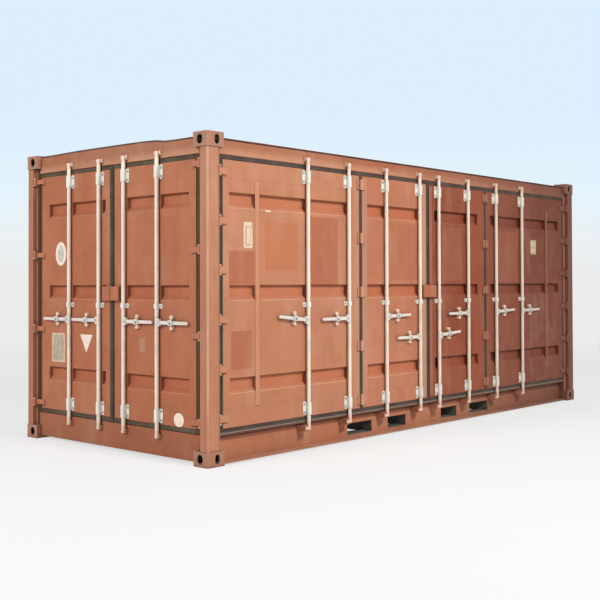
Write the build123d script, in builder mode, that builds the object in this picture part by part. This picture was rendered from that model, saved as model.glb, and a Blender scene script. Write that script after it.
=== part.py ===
from build123d import *
from math import atan2, degrees
import os

os.makedirs("parts", exist_ok=True)

# A twenty foot side-opening shipping container: two hinged end doors, four folding side leaves.
# Millimetres, origin at the bottom centre, X along the length, the door end at -X, the folding side at -Y.

# Overall size, over the corner castings
LENGTH = 6058.0
WIDTH = 2438.0
HEIGHT = 2591.0

# Corner castings
CASTING_X = 178.0
CASTING_Y = 162.0
CASTING_Z = 118.0
CASTING_WALL = 15.0
CASTING_PLATE = 28.5
CASTING_ROUND = 12.0
APERTURE_FROM_END = 102.5
APERTURE_FROM_SIDE = 89.5
SLOT_LENGTH = 124.0
SLOT_WIDTH = 63.5
SIDE_HOLE_WIDTH = 51.0
END_HOLE_WIDTH = 63.5
FACE_HOLE_HEIGHT = 79.5
FACE_HOLE_SIDES = 12

# Corner posts, with the jambs that the doors close against
POST_INSET = 6.0
POST_ALONG_SIDE = 128.0
POST_ALONG_END = 92.0
POST_ROUND = 12.0
JAMB_THICKNESS = 50.0
END_JAMB_WIDTH = 47.0
SIDE_JAMB_WIDTH = 42.0

# Headers, measured down from the tops of the castings and inward from their outer planes
HEAD_DROP = 38.0
HEAD_HEIGHT = 125.0
HEAD_FACE = 48.0
HEAD_THICKNESS = 60.0
UPSTAND = 6.0
UPSTAND_SHARES = (-1.0, -0.82, -0.63, 0.0, 0.35, 0.53)
UPSTAND_RISES = (34.0, 31.0, 35.0, 36.5, 34.0, 28.0)
BENT_SHARES = (0.64, 0.81, 1.0)
BENT_RISES = (13.0, 11.0, 14.0)

# Sills and bottom rails
SILL_BOTTOM = 24.0
SILL_HEIGHT = 212.0
RAIL_BOTTOM = 12.0
RAIL_HEIGHT = 218.0
RAIL_WEB = 105.0
RAIL_PLATE = 6.0
RAIL_FLANGE = 8.0
RAIL_TOP_LIP = 50.0
RAIL_BOTTOM_LIP = 5.0
BLIND_SILL_HEIGHT = 156.0

# Members of the plain side and the blind end
WALL_FACE = 8.0
FAR_RAIL_WIDTH = 90.0
TOP_RAIL_WIDTH = 60.0

# Door leaves, measured inward from the outer planes of the castings
DOOR_FACE = 46.0
LEAF_THICKNESS = 50.0
LEAF_STILE = 80.0
LEAF_RAIL = 145.0
HEAD_GAP = 40.0
SILL_GAP = 42.0
END_HINGE_GAP = 34.0
SIDE_HINGE_GAP = 24.0
MEETING_GAP = 36.0
INNER_LEAF_SHARE = 0.3552
FOLD_GAP = 24.0
SHEET = 3.0

# Pressed recesses of the door sheets, measured down from the tops of the leaves
RECESS_DEPTH = 34.0
RECESS_ROWS = 3
RECESS_DROP = 253.0
RECESS_RISE = 387.0
RECESS_HEIGHT = 126.0
RECESS_TOP_RUN = 14.0
RECESS_FOOT_RUN = 38.0
RECESS_MARGIN = 8.0
LEAF_3_START_MARGIN = 100.0
LEAF_3_END_MARGIN = 141.0
LEAF_4_END_MARGIN = 115.0
LEFT_DOOR_MARGIN = 124.0
RIB_WIDTH = 54.0
SIDE_RIB_START = 8.0
END_RIB_START = -30.0
STRAP_WIDTH = 53.0
STRAP_PROUD = 3.0
LEFT_STRAP_MARGIN = 375.0
RIGHT_STRAP_MARGIN = 382.0

# Door seals
SEAL_FRONT = 48.0
SEAL_BACK = 80.0
SEAL_SEAT = 0.3
MOVING_GAP = 5.0
MEETING_CLEAR = 3.25

# Lock bars and what they carry
BAR_DEPTH = 24.0
BAR_RADIUS = 17.0
BAR_FIT = 0.1
OUTER_BAR_FROM_FOLD = 753.0
NEAR_BAR_FROM_FOLD = 195.0
INNER_BAR_FROM_FOLD = 365.0
MEETING_BAR = 166.0
SIDE_HANDLES = (-1, -1, 1, -1, 1, -1, 1, 1)
SIDE_LOW_HANDLES = (3, 4)
END_OUTER_BAR_SHARE = 0.57
END_INNER_BAR_SHARE = 0.1615
END_HANDLES = (-1, -1, 1, 1)
HANDLE_Z = 1100.0
LOW_HANDLE_Z = 890.0
SIDE_HANDLE_RISES = (38.0, 0.0, 8.0, 0.0, 24.0, 0.0, 14.0, 8.0)
END_HANDLE_RISE = 0.0
HANDLE_FROM_NEXT_BAR = 52.0
HANDLE_ROOT = 32.0
HANDLE_TIP = 24.0
HANDLE_THICKNESS = 12.0
CLASP_WIDTH = 50.0
CLASP_HEIGHT = 44.0
CLASP_CORNER = 13.0
CLASP_THICKNESS = 6.0
HUB_REACH = 42.0
HUB_HEIGHT = 64.0
HUB_THICKNESS = 24.0
HUB_CHAMFER = 8.0
CAM_RADIUS = 19.0
CAM_REACH = 50.0
CAM_WIDTH = 26.0
CAM_HEIGHT = 22.0
CAM_CHAMFER = 8.0
TOP_CAM_RISE = 31.0
BOTTOM_CAM_DROP = 66.0

# Bearings that hold the lock bars, and the catches that hold their handles
BEARING_STRAP = 4.0
BEARING_CHAMFER = 9.0
BEARING_PLATE = 6.0
BEARING_LONG_WING = 52.0
BEARING_SHORT_WING = 35.0
BEARING_HEIGHT = 116.0
BEARING_STRAP_HEIGHT = 100.0
BEARING_CORNER = 10.0
TOP_BEARING_DROP = 70.0
BOTTOM_BEARING_RISE = 70.0
MIDDLE_BEARING_RISE = 130.0
MIDDLE_BEARING_HEIGHT = 40.0
CATCH_FROM_BAR = 175.0
CATCH_WIDTH = 26.0
CATCH_HEIGHT = 124.0
CATCH_PLATE = 9.0
CATCH_CORNER = 8.0
CATCH_FRONT = 17.0
CATCH_TIP = 5.0
CATCH_ROOT = 18.0

# Keepers that hold the cams
KEEPER_PLATE = 8.0
KEEPER_FRONT = 8.0
CHEEK_FRONT = 20.0
CHEEK_HEIGHT = 42.0
CHEEK_CORNER = 12.0

# Hinges
PIN_RADIUS = 8.0
PIN_DEPTH = 14.0
PIN_FROM_POST = 14.0
PIN_FIT = 0.1
KNUCKLE_RADIUS = 11.0
BARREL_SIDES = 8
LUG_THICKNESS = 14.0
LUG_FRONT = 3.0
LUG_REACH = 12.0
HINGE_PLAY = 1.5
BLADE_THICKNESS = 8.0
BLADE_LENGTH = 118.0
BLADE_FRONT = 17.0
BLADE_NECK = 10.0
BLADE_CRANK = 30.0
BLADE_CRANK_BACK = 23.0
BLADE_CHAMFER = 10.0
END_HINGES = 4
END_HINGE_DROP = 37.0
END_HINGE_RISE = 54.0
END_HINGE_HEIGHT = 74.0
SIDE_HINGES = 6
SIDE_HINGE_DROP = 92.0
SIDE_HINGE_RISE = 78.0
SIDE_HINGE_HEIGHT = 85.0
FOLD_HINGES = 5
FOLD_HINGE_DROP = 79.0
FOLD_HINGE_RISE = 77.0
FOLD_HINGE_HEIGHT = 95.0
FOLD_BLADE = 54.0

# Overlap blocks at the meeting stiles
BLOCK_HALF_WIDTH = 112.0
BLOCK_BOTTOM = 1270.0
BLOCK_HEIGHT = 121.0
BLOCK_FRONT = 12.0
BLOCK_CHAMFER = 8.0

# Corrugated walls and roof
WALL_SHEET = 2.0
WALL_PITCH = 278.0
WALL_CREST = 72.0
WALL_SLOPE = 68.0
SIDE_WALL_DEPTH = 36.0
BLIND_WALL_DEPTH = 45.0
ROOF_SHEET = 2.5
ROOF_OVERHANG = 8.0
SWAGE_DEPTH = 20.0
SWAGE_WIDTH = 110.0
SWAGE_SLOPE = 25.0
SWAGES = 26
SWAGE_END_MARGIN = 238.5
SWAGE_MARGIN = 110.0

# Underframe and floor
FLOOR_BOTTOM = 200.0
FLOOR_THICKNESS = 28.0
FLOOR_SHEETS = 5
FLOOR_JOINT = 2.0
FLOOR_EDGE = 4.0
MEMBER_DEPTH = 122.0
MEMBER_WIDTH = 45.0
MEMBER_PLATE = 4.0
MEMBER_START = 1500.0
MEMBER_FROM_END = 329.0
MEMBERS_PER_END = 5
MID_MEMBER = 720.0
POCKET_BOTTOM = 38.0
POCKET_TOP = 142.0
POCKETS = ((-1025.0, 360.0), (-450.0, 290.0), (450.0, 290.0), (1025.0, 360.0))
POCKET_PLATE = 8.0
POCKET_STRAP = 150.0

half_x = LENGTH / 2
half_y = WIDTH / 2

# The four upright faces, seen from outside: x to the right, y up, z outward
side_face = Plane(origin=(0, -half_y, 0), x_dir=(1, 0, 0), z_dir=(0, -1, 0))
end_face = Plane(origin=(-half_x, 0, 0), x_dir=(0, -1, 0), z_dir=(-1, 0, 0))
far_face = Plane(origin=(0, half_y, 0), x_dir=(-1, 0, 0), z_dir=(0, 1, 0))
blind_face = Plane(origin=(half_x, 0, 0), x_dir=(0, 1, 0), z_dir=(1, 0, 0))

# Places that several pieces share
post_top = HEIGHT - CASTING_Z
head_top = HEIGHT - HEAD_DROP
head_bottom = head_top - HEAD_HEIGHT
head_back = HEAD_FACE + HEAD_THICKNESS
sill_top = SILL_BOTTOM + SILL_HEIGHT
rail_top = RAIL_BOTTOM + RAIL_HEIGHT
web_back = RAIL_WEB + RAIL_PLATE
far_web_back = WALL_FACE + RAIL_PLATE
far_rail_back = WALL_FACE + FAR_RAIL_WIDTH
top_rail_back = WALL_FACE + TOP_RAIL_WIDTH
blind_sill_top = SILL_BOTTOM + BLIND_SILL_HEIGHT
jamb_back = DOOR_FACE + JAMB_THICKNESS
side_span = half_x - CASTING_X
end_span = half_y - CASTING_Y
post_side = half_x - POST_ALONG_SIDE
post_end = half_y - jamb_back
side_opening = post_side - SIDE_JAMB_WIDTH
end_opening = half_y - POST_ALONG_END - END_JAMB_WIDTH
side_edge = side_opening - SIDE_HINGE_GAP
end_edge = end_opening - END_HINGE_GAP
end_pin = half_y - POST_ALONG_END - PIN_FROM_POST
side_pin = post_side - PIN_FROM_POST
leaf_back = DOOR_FACE + LEAF_THICKNESS
leaf_bottom = sill_top + SILL_GAP
leaf_top = head_bottom - HEAD_GAP
leaf_height = leaf_top - leaf_bottom
fold_at = half_x * INNER_LEAF_SHARE
right_bars = (
    MEETING_BAR,
    fold_at - INNER_BAR_FROM_FOLD,
    fold_at + NEAR_BAR_FROM_FOLD,
    fold_at + OUTER_BAR_FROM_FOLD,
)
side_bars = [-u for u in reversed(right_bars)] + list(right_bars)
outer_bar = end_edge * END_OUTER_BAR_SHARE
inner_bar = end_edge * END_INNER_BAR_SHARE
end_bars = (-outer_bar, -inner_bar, inner_bar, outer_bar)
handle_length = outer_bar - inner_bar - HANDLE_FROM_NEXT_BAR
top_cam = head_bottom + TOP_CAM_RISE
bottom_cam = sill_top - BOTTOM_CAM_DROP


def blocks(face, places, size, depth, mode=Mode.ADD):
    """Equal blocks centred on places along and up an upright face, between two depths behind it."""
    with BuildSketch(face.offset(-depth[1])) as outline:
        with Locations(*places):
            Rectangle(*size)
    extrude(outline.sketch, amount=depth[1] - depth[0], mode=mode)


def slab(face, u, z, depth, mode=Mode.ADD):
    """One block on an upright face, from its ends along and up the face and its two depths."""
    place = ((u[0] + u[1]) / 2, (z[0] + z[1]) / 2)
    blocks(face, [place], (abs(u[1] - u[0]), abs(z[1] - z[0])), depth, mode)


def spot(face, u, depth):
    """The plan position of a place along a face and a depth behind it."""
    place = face.from_local_coords(Vector(u, 0, -depth))
    return (place.X, place.Y)


def column(face, u, depth, radius, z, mode=Mode.ADD):
    """An upright round bar behind a face."""
    with BuildSketch(Plane.XY.offset(z[0])) as outline:
        with Locations(spot(face, u, depth)):
            Circle(radius)
    extrude(outline.sketch, amount=z[1] - z[0], mode=mode)


def barrel(face, u, depth, radius, z):
    """An upright flat-sided barrel behind a face."""
    with BuildSketch(Plane.XY.offset(z[0])) as outline:
        with Locations(spot(face, u, depth)):
            RegularPolygon(radius, BARREL_SIDES, rotation=180 / BARREL_SIDES)
    extrude(outline.sketch, amount=z[1] - z[0])


def face_hole(face, u, z, width, depth):
    """A tall hole with rounded ends through a plate behind a face."""
    straight = (FACE_HOLE_HEIGHT - width) / 2
    with BuildSketch(face.offset(-depth)) as outline:
        with Locations((u, z - straight), (u, z + straight)):
            RegularPolygon(width / 2, FACE_HOLE_SIDES)
        with Locations((u, z)):
            Rectangle(width, 2 * straight)
    extrude(outline.sketch, amount=depth, mode=Mode.SUBTRACT)


def plan(face, points, z, mode=Mode.ADD):
    """An upright prism from a plan outline of places along a face and depths behind it."""
    with BuildSketch(Plane.XY.offset(z[0])) as outline:
        with BuildLine():
            Polyline(*[spot(face, u, depth) for u, depth in points], close=True)
        make_face()
    extrude(outline.sketch, amount=z[1] - z[0], mode=mode)


def beam(face, sections, u, mode=Mode.ADD):
    """Members along a face, from their sections of depths and heights."""
    section = Plane(
        origin=face.from_local_coords(Vector(u[0], 0, 0)),
        x_dir=-face.z_dir,
        z_dir=face.x_dir,
    )
    with BuildSketch(section) as outline:
        for points in sections:
            with BuildLine():
                Polyline(*points, close=True)
            make_face()
    extrude(outline.sketch, amount=u[1] - u[0], mode=mode)


def rows(count, pitch):
    """Locations of a master and its copies below it."""
    return Locations(*[(0, 0, -row * pitch) for row in range(count)])


def along_side(places):
    """Locations of a master on the side face, moved along it."""
    return Locations(*[(u, 0, 0) for u in places])


def along_end(places):
    """Locations of a master on the end face, moved along it."""
    return Locations(*[(0, -u, 0) for u in places])


def finish(name, built):
    """Labels a finished piece and writes it."""
    built.part.label = name
    export_step(built.part, f"parts/{name}.step")


# Corner castings, hollow, with the twistlock slot and the two face holes
slot_x = half_x - APERTURE_FROM_END
slot_y = half_y - APERTURE_FROM_SIDE
casting_mid_z = CASTING_Z / 2
casting_centre = (-half_x + CASTING_X / 2, -half_y + CASTING_Y / 2)
with BuildPart() as casting:
    with BuildSketch():
        with Locations(casting_centre):
            Rectangle(CASTING_X, CASTING_Y)
    extrude(amount=CASTING_Z)
    outer = casting.edges().filter_by(Axis.Z).sort_by_distance((-half_x, -half_y, casting_mid_z))[0]
    fillet(outer, radius=CASTING_ROUND)
    with BuildSketch(Plane.XY.offset(CASTING_PLATE)):
        with Locations(casting_centre):
            Rectangle(CASTING_X - 2 * CASTING_WALL, CASTING_Y - 2 * CASTING_WALL)
    extrude(amount=CASTING_Z - CASTING_PLATE - CASTING_WALL, mode=Mode.SUBTRACT)
    with BuildSketch():
        with Locations((-slot_x, -slot_y)):
            SlotOverall(SLOT_LENGTH, SLOT_WIDTH)
    extrude(amount=CASTING_PLATE, mode=Mode.SUBTRACT)
    face_hole(side_face, -slot_x, casting_mid_z, SIDE_HOLE_WIDTH, CASTING_WALL)
    face_hole(end_face, slot_y, casting_mid_z, END_HOLE_WIDTH, CASTING_WALL)

with BuildPart() as corner_castings:
    add(casting.part)
    mirror(about=Plane.XZ)
    mirror(about=Plane.YZ)
    mirror(about=Plane.XY.offset(HEIGHT / 2))
finish("corner_castings", corner_castings)


# Corner posts, each with the jambs that its corner needs
def post(along_x, along_y, side_jamb, end_jamb):
    """A post between two castings, from the signs of its corner."""
    outline = [(POST_INSET, POST_INSET), (POST_ALONG_SIDE, POST_INSET)]
    if side_jamb:
        edge = POST_ALONG_SIDE + SIDE_JAMB_WIDTH
        outline += [(POST_ALONG_SIDE, DOOR_FACE), (edge, DOOR_FACE), (edge, jamb_back)]
    else:
        outline += [(POST_ALONG_SIDE, jamb_back)]
    if end_jamb:
        edge = POST_ALONG_END + END_JAMB_WIDTH
        outline += [(jamb_back, jamb_back), (jamb_back, edge), (DOOR_FACE, edge)]
        outline += [(DOOR_FACE, POST_ALONG_END), (POST_INSET, POST_ALONG_END)]
    else:
        outline += [(POST_INSET, jamb_back)]
    points = [(along_x * (half_x - x), along_y * (half_y - y)) for x, y in outline]
    with BuildSketch(Plane.XY.offset(CASTING_Z)) as section:
        with BuildLine():
            Polyline(*points, close=True)
        make_face()
        corner = (along_x * half_x, along_y * half_y, CASTING_Z)
        fillet(section.vertices().sort_by_distance(corner)[0], radius=POST_ROUND)
    extrude(section.sketch, amount=post_top - CASTING_Z)


with BuildPart() as corner_posts:
    post(-1, -1, side_jamb=True, end_jamb=True)
    post(-1, 1, side_jamb=False, end_jamb=True)
    post(1, -1, side_jamb=True, end_jamb=False)
    post(1, 1, side_jamb=False, end_jamb=False)
finish("corner_posts", corner_posts)


def upstand_points(shares, rises):
    """Places along the end header, from shares of its half length, and rises above it."""
    return [(end_span * share, head_top + rise) for share, rise in zip(shares, rises)]


# Headers above the doors; the end one has an upstand that has bent down at one side
with BuildPart() as side_header:
    slab(side_face, (-side_span, side_span), (head_bottom, head_top), (HEAD_FACE, head_back))
    slab(side_face, (-side_opening, side_opening), (head_bottom, post_top), (HEAD_FACE, head_back))
finish("side_header", side_header)

with BuildPart() as door_header:
    slab(end_face, (-end_span, end_span), (head_bottom, head_top), (HEAD_FACE, head_back))
    slab(end_face, (-end_opening, end_opening), (head_bottom, post_top), (HEAD_FACE, head_back))
    with BuildSketch(end_face.offset(-HEAD_FACE - UPSTAND)) as upstand:
        with BuildLine():
            high = Spline(*upstand_points(UPSTAND_SHARES, UPSTAND_RISES))
            low = Spline(*upstand_points(BENT_SHARES, BENT_RISES))
            Line(high @ 1, low @ 0)
            Polyline(low @ 1, (end_span, head_top), (-end_span, head_top), high @ 0)
        make_face()
    extrude(upstand.sketch, amount=UPSTAND)
finish("door_header", door_header)

# Top members of the plain side and the blind end
with BuildPart() as far_top_rail:
    slab(far_face, (-side_span, side_span), (post_top, head_top), (WALL_FACE, top_rail_back))
finish("far_top_rail", far_top_rail)

with BuildPart() as blind_header:
    slab(blind_face, (-end_span, end_span), (post_top, head_top), (WALL_FACE, top_rail_back))
finish("blind_header", blind_header)


def pocket_cuts(face, depth):
    """The fork openings through the web of a bottom rail."""
    for centre, width in POCKETS:
        span = (centre - width / 2, centre + width / 2)
        slab(face, span, (POCKET_BOTTOM, POCKET_TOP), depth, mode=Mode.SUBTRACT)


# Bottom rail under the folding leaves, a channel that is open to the outside
with BuildPart() as side_sill_rail:
    channel = [
        (RAIL_TOP_LIP, rail_top),
        (RAIL_TOP_LIP, rail_top - RAIL_FLANGE),
        (RAIL_WEB, rail_top - RAIL_FLANGE),
        (RAIL_WEB, RAIL_BOTTOM + RAIL_FLANGE),
        (RAIL_BOTTOM_LIP, RAIL_BOTTOM + RAIL_FLANGE),
        (RAIL_BOTTOM_LIP, RAIL_BOTTOM),
        (web_back, RAIL_BOTTOM),
        (web_back, rail_top),
    ]
    beam(side_face, [channel], (-side_span, side_span))
    flange = (rail_top - RAIL_FLANGE, rail_top)
    slab(side_face, (-side_opening, side_opening), flange, (RAIL_TOP_LIP, web_back))
    slab(side_face, (-side_opening, side_opening), (CASTING_Z, rail_top), (RAIL_WEB, web_back))
    pocket_cuts(side_face, (RAIL_WEB, web_back))
finish("side_sill_rail", side_sill_rail)

# Bottom rail of the plain side, a channel that is open to the inside
with BuildPart() as far_bottom_rail:
    channel = [
        (WALL_FACE, RAIL_BOTTOM),
        (far_rail_back, RAIL_BOTTOM),
        (far_rail_back, RAIL_BOTTOM + RAIL_PLATE),
        (far_web_back, RAIL_BOTTOM + RAIL_PLATE),
        (far_web_back, rail_top - RAIL_PLATE),
        (far_rail_back, rail_top - RAIL_PLATE),
        (far_rail_back, rail_top),
        (WALL_FACE, rail_top),
    ]
    beam(far_face, [channel], (-side_span, side_span))
    slab(far_face, (-post_side, post_side), (CASTING_Z, rail_top), (WALL_FACE, far_web_back))
    slab(far_face, (-post_side, post_side), (rail_top - RAIL_PLATE, rail_top), (WALL_FACE, far_rail_back))
    pocket_cuts(far_face, (WALL_FACE, far_web_back))
finish("far_bottom_rail", far_bottom_rail)

# Sills of the two ends
with BuildPart() as door_sill:
    slab(end_face, (-end_span, end_span), (SILL_BOTTOM, sill_top), (HEAD_FACE, head_back))
    slab(end_face, (-end_opening, end_opening), (CASTING_Z, sill_top), (HEAD_FACE, head_back))
finish("door_sill", door_sill)

with BuildPart() as blind_sill:
    slab(blind_face, (-end_span, end_span), (SILL_BOTTOM, blind_sill_top), (WALL_FACE, top_rail_back))
    slab(blind_face, (-post_end, post_end), (CASTING_Z, blind_sill_top), (WALL_FACE, top_rail_back))
finish("blind_sill", blind_sill)

# Underframe: channel cross members and the fork pockets between them
member_pitch = (half_x - MEMBER_FROM_END - MEMBER_START) / (MEMBERS_PER_END - 1)
member_outer = [MEMBER_START + number * member_pitch for number in range(MEMBERS_PER_END)]
member_at = [-x for x in member_outer] + [-MID_MEMBER, 0.0, MID_MEMBER] + member_outer
member_near = -half_y + web_back
member_far = half_y - far_web_back
member_length = member_far - member_near
across = Plane.XZ.offset(-member_far)
with BuildPart() as cross_members:
    with BuildSketch(across):
        with Locations(*[(x, FLOOR_BOTTOM - MEMBER_DEPTH / 2) for x in member_at]):
            Rectangle(MEMBER_WIDTH, MEMBER_DEPTH)
        with Locations(*[(x + MEMBER_PLATE, FLOOR_BOTTOM - MEMBER_DEPTH / 2) for x in member_at]):
            Rectangle(MEMBER_WIDTH, MEMBER_DEPTH - 2 * MEMBER_PLATE, mode=Mode.SUBTRACT)
    extrude(amount=member_length)
finish("cross_members", cross_members)

pocket_floor = POCKET_BOTTOM - POCKET_PLATE
with BuildPart() as fork_pockets:
    with BuildSketch(across):
        for centre, width in POCKETS:
            with Locations((centre, (pocket_floor + FLOOR_BOTTOM) / 2)):
                Rectangle(width + 2 * POCKET_PLATE, FLOOR_BOTTOM - pocket_floor)
                Rectangle(width, FLOOR_BOTTOM - pocket_floor, mode=Mode.SUBTRACT)
            with Locations((centre, POCKET_TOP + POCKET_PLATE / 2)):
                Rectangle(width + 2 * POCKET_PLATE, POCKET_PLATE)
    extrude(amount=member_length)
    with BuildSketch(Plane.XY.offset(pocket_floor)):
        for centre, width in POCKETS:
            for y in (member_near + POCKET_STRAP / 2, member_far - POCKET_STRAP / 2):
                with Locations((centre, y)):
                    Rectangle(width + 2 * POCKET_PLATE, POCKET_STRAP)
    extrude(amount=POCKET_PLATE)
finish("fork_pockets", fork_pockets)

# Floor of plywood sheets
floor_start = -half_x + head_back + FLOOR_EDGE
floor_end = half_x - top_rail_back - FLOOR_EDGE
floor_near = member_near + FLOOR_EDGE
floor_far = half_y - far_rail_back - FLOOR_EDGE
sheet_pitch = (floor_end - floor_start + FLOOR_JOINT) / FLOOR_SHEETS
floor_centre = ((floor_start + floor_end) / 2, (floor_near + floor_far) / 2)
with BuildPart() as floor:
    with BuildSketch(Plane.XY.offset(FLOOR_BOTTOM)):
        with Locations(floor_centre):
            with GridLocations(sheet_pitch, 1, FLOOR_SHEETS, 1):
                Rectangle(sheet_pitch - FLOOR_JOINT, floor_far - floor_near)
    extrude(amount=FLOOR_THICKNESS)
finish("floor", floor)


# Corrugated walls
def corrugated(face, half_span, z, crest_depth, depth):
    """An upright sheet with trapezoid corrugations between two flat edges."""
    count = int((2 * half_span - WALL_CREST) // WALL_PITCH)
    start = -count * WALL_PITCH / 2
    line = [(-half_span, crest_depth)]
    for number in range(count):
        left = start + number * WALL_PITCH + WALL_CREST / 2
        right = left + WALL_PITCH - WALL_CREST
        line += [(left, crest_depth), (left + WALL_SLOPE, crest_depth + depth)]
        line += [(right - WALL_SLOPE, crest_depth + depth), (right, crest_depth)]
    line += [(half_span, crest_depth)]
    back = [(u, d + WALL_SHEET) for u, d in reversed(line)]
    plan(face, line + back, z)


with BuildPart() as far_side_wall:
    corrugated(far_face, post_side, (rail_top, post_top), WALL_FACE, SIDE_WALL_DEPTH)
finish("far_side_wall", far_side_wall)

with BuildPart() as blind_end_wall:
    corrugated(blind_face, post_end, (blind_sill_top, post_top), WALL_FACE, BLIND_WALL_DEPTH)
finish("blind_end_wall", blind_end_wall)

# Roof sheet, lapped over the rails between the castings, with swages pressed down across it
roof_near = -half_y + HEAD_FACE - ROOF_OVERHANG
roof_far = half_y - WALL_FACE
roof_start = -half_x + HEAD_FACE + UPSTAND
roof_end = half_x - WALL_FACE
roof_face = head_top + ROOF_SHEET
swage_near = -half_y + head_back + SWAGE_MARGIN
swage_far = half_y - top_rail_back - SWAGE_MARGIN
swage_pitch = 2 * (side_span - SWAGE_END_MARGIN) / (SWAGES - 1)
swage_angle = degrees(atan2(SWAGE_DEPTH, SWAGE_SLOPE))
with BuildPart() as roof_panel:
    with BuildSketch(Plane.XY.offset(head_top)):
        with Locations((0, (roof_near + roof_far) / 2)):
            Rectangle(2 * side_span, roof_far - roof_near)
        with Locations(((roof_start + roof_end) / 2, 0)):
            Rectangle(roof_end - roof_start, 2 * end_span)
    extrude(amount=ROOF_SHEET)
    for grow, mode in ((ROOF_SHEET, Mode.ADD), (0.0, Mode.SUBTRACT)):
        with BuildSketch(Plane.XZ.offset(-swage_far - grow)):
            with Locations((0, roof_face - (SWAGE_DEPTH + grow) / 2)):
                with GridLocations(swage_pitch, 1, SWAGES, 1):
                    Trapezoid(SWAGE_WIDTH + 2 * grow, SWAGE_DEPTH + grow, swage_angle, rotation=180)
        extrude(amount=swage_far - swage_near + 2 * grow, mode=mode)
finish("roof_panel", roof_panel)


# Door leaves: a flat frame and a sheet with pressed recesses between flat ribs
recess_pitch = (leaf_height - RECESS_DROP - RECESS_RISE) / (RECESS_ROWS - 1)


def bays(start, end, ribs):
    """The recess spans that are left between flat ribs."""
    spans = []
    left = start
    for rib_start, rib_end in sorted(ribs):
        spans.append((left, rib_start))
        left = rib_end
    if end > left:
        spans.append((left, end))
    return spans


def recess(row, grow):
    """The section of one pressed recess, or of the sheet round it."""
    top = leaf_top - RECESS_DROP - row * recess_pitch
    foot = top - RECESS_HEIGHT
    back = DOOR_FACE + RECESS_DEPTH + grow
    return [
        (DOOR_FACE, top + grow),
        (back, top - RECESS_TOP_RUN + grow),
        (back, foot + RECESS_FOOT_RUN - grow),
        (DOOR_FACE, foot - grow),
    ]


def leaf(face, u, spans):
    """One leaf with its rows of recesses."""
    slab(face, u, (leaf_bottom, leaf_top), (DOOR_FACE, leaf_back))
    window = (u[0] + LEAF_STILE, u[1] - LEAF_STILE)
    height = (leaf_bottom + LEAF_RAIL, leaf_top - LEAF_RAIL)
    slab(face, window, height, (DOOR_FACE + SHEET, leaf_back), mode=Mode.SUBTRACT)
    for grow, mode in ((SHEET, Mode.ADD), (0.0, Mode.SUBTRACT)):
        sections = [recess(row, grow) for row in range(RECESS_ROWS)]
        for span in spans:
            beam(face, sections, (span[0] - grow, span[1] + grow), mode=mode)


def strap(face, start):
    """A flat upright strap on a leaf, from rail to rail."""
    height = (leaf_bottom + LEAF_RAIL, leaf_top - LEAF_RAIL)
    slab(face, (start, start + STRAP_WIDTH), height, (DOOR_FACE - STRAP_PROUD, DOOR_FACE))


def rib(bar, start):
    """The flat rib beside a lock bar."""
    return (bar + start, bar + start + RIB_WIDTH)


first = LEAF_STILE + RECESS_MARGIN
half_fold = FOLD_GAP / 2
half_meet = MEETING_GAP / 2
left_strap_at = -side_edge + LEFT_STRAP_MARGIN
right_strap_at = side_edge - RIGHT_STRAP_MARGIN - STRAP_WIDTH
left_strap = (left_strap_at, left_strap_at + STRAP_WIDTH)
right_strap = (right_strap_at, right_strap_at + STRAP_WIDTH)
side_ribs = [rib(bar, SIDE_RIB_START) for bar in side_bars]
end_ribs = [rib(bar, END_RIB_START) for bar in end_bars]

with BuildPart() as side_leaf_1:
    edges_1 = (-side_edge, -fold_at - half_fold)
    leaf(side_face, edges_1, bays(edges_1[0] + first, side_ribs[1][0], [left_strap, side_ribs[0]]))
    strap(side_face, left_strap_at)
finish("side_leaf_1", side_leaf_1)

with BuildPart() as side_leaf_2:
    edges_2 = (half_fold - fold_at, -half_meet)
    leaf(side_face, edges_2, bays(edges_2[0] + first, side_ribs[3][0], [side_ribs[2]]))
finish("side_leaf_2", side_leaf_2)

with BuildPart() as side_leaf_3:
    edges_3 = (half_meet, fold_at - half_fold)
    recesses_3 = (edges_3[0] + LEAF_3_START_MARGIN, edges_3[1] - LEAF_3_END_MARGIN)
    leaf(side_face, edges_3, bays(*recesses_3, side_ribs[4:6]))
finish("side_leaf_3", side_leaf_3)

with BuildPart() as side_leaf_4:
    edges_4 = (fold_at + half_fold, side_edge)
    ribs_4 = side_ribs[6:8] + [right_strap]
    leaf(side_face, edges_4, bays(edges_4[0] + first, edges_4[1] - LEAF_4_END_MARGIN, ribs_4))
    strap(side_face, right_strap_at)
finish("side_leaf_4", side_leaf_4)


def half_block(u):
    """Half of the overlap block of the end doors, with its outer edge chamfered."""
    inner, outer = u
    shoulder = outer - (BLOCK_CHAMFER if outer > 0 else -BLOCK_CHAMFER)
    points = [(inner, DOOR_FACE), (inner, BLOCK_FRONT), (shoulder, BLOCK_FRONT)]
    points += [(outer, BLOCK_FRONT + BLOCK_CHAMFER), (outer, DOOR_FACE)]
    plan(end_face, points, (BLOCK_BOTTOM, BLOCK_BOTTOM + BLOCK_HEIGHT))


with BuildPart() as door_left_leaf:
    left_spans = bays(LEFT_DOOR_MARGIN - end_edge, -half_meet - LEAF_STILE, end_ribs[:2])
    leaf(end_face, (-end_edge, -half_meet), left_spans)
    half_block((-MEETING_CLEAR, -BLOCK_HALF_WIDTH))
finish("door_left_leaf", door_left_leaf)

with BuildPart() as door_right_leaf:
    leaf(end_face, (half_meet, end_edge), bays(end_ribs[2][1], end_edge - first, [end_ribs[3]]))
    half_block((MEETING_CLEAR, BLOCK_HALF_WIDTH))
finish("door_right_leaf", door_right_leaf)


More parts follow.
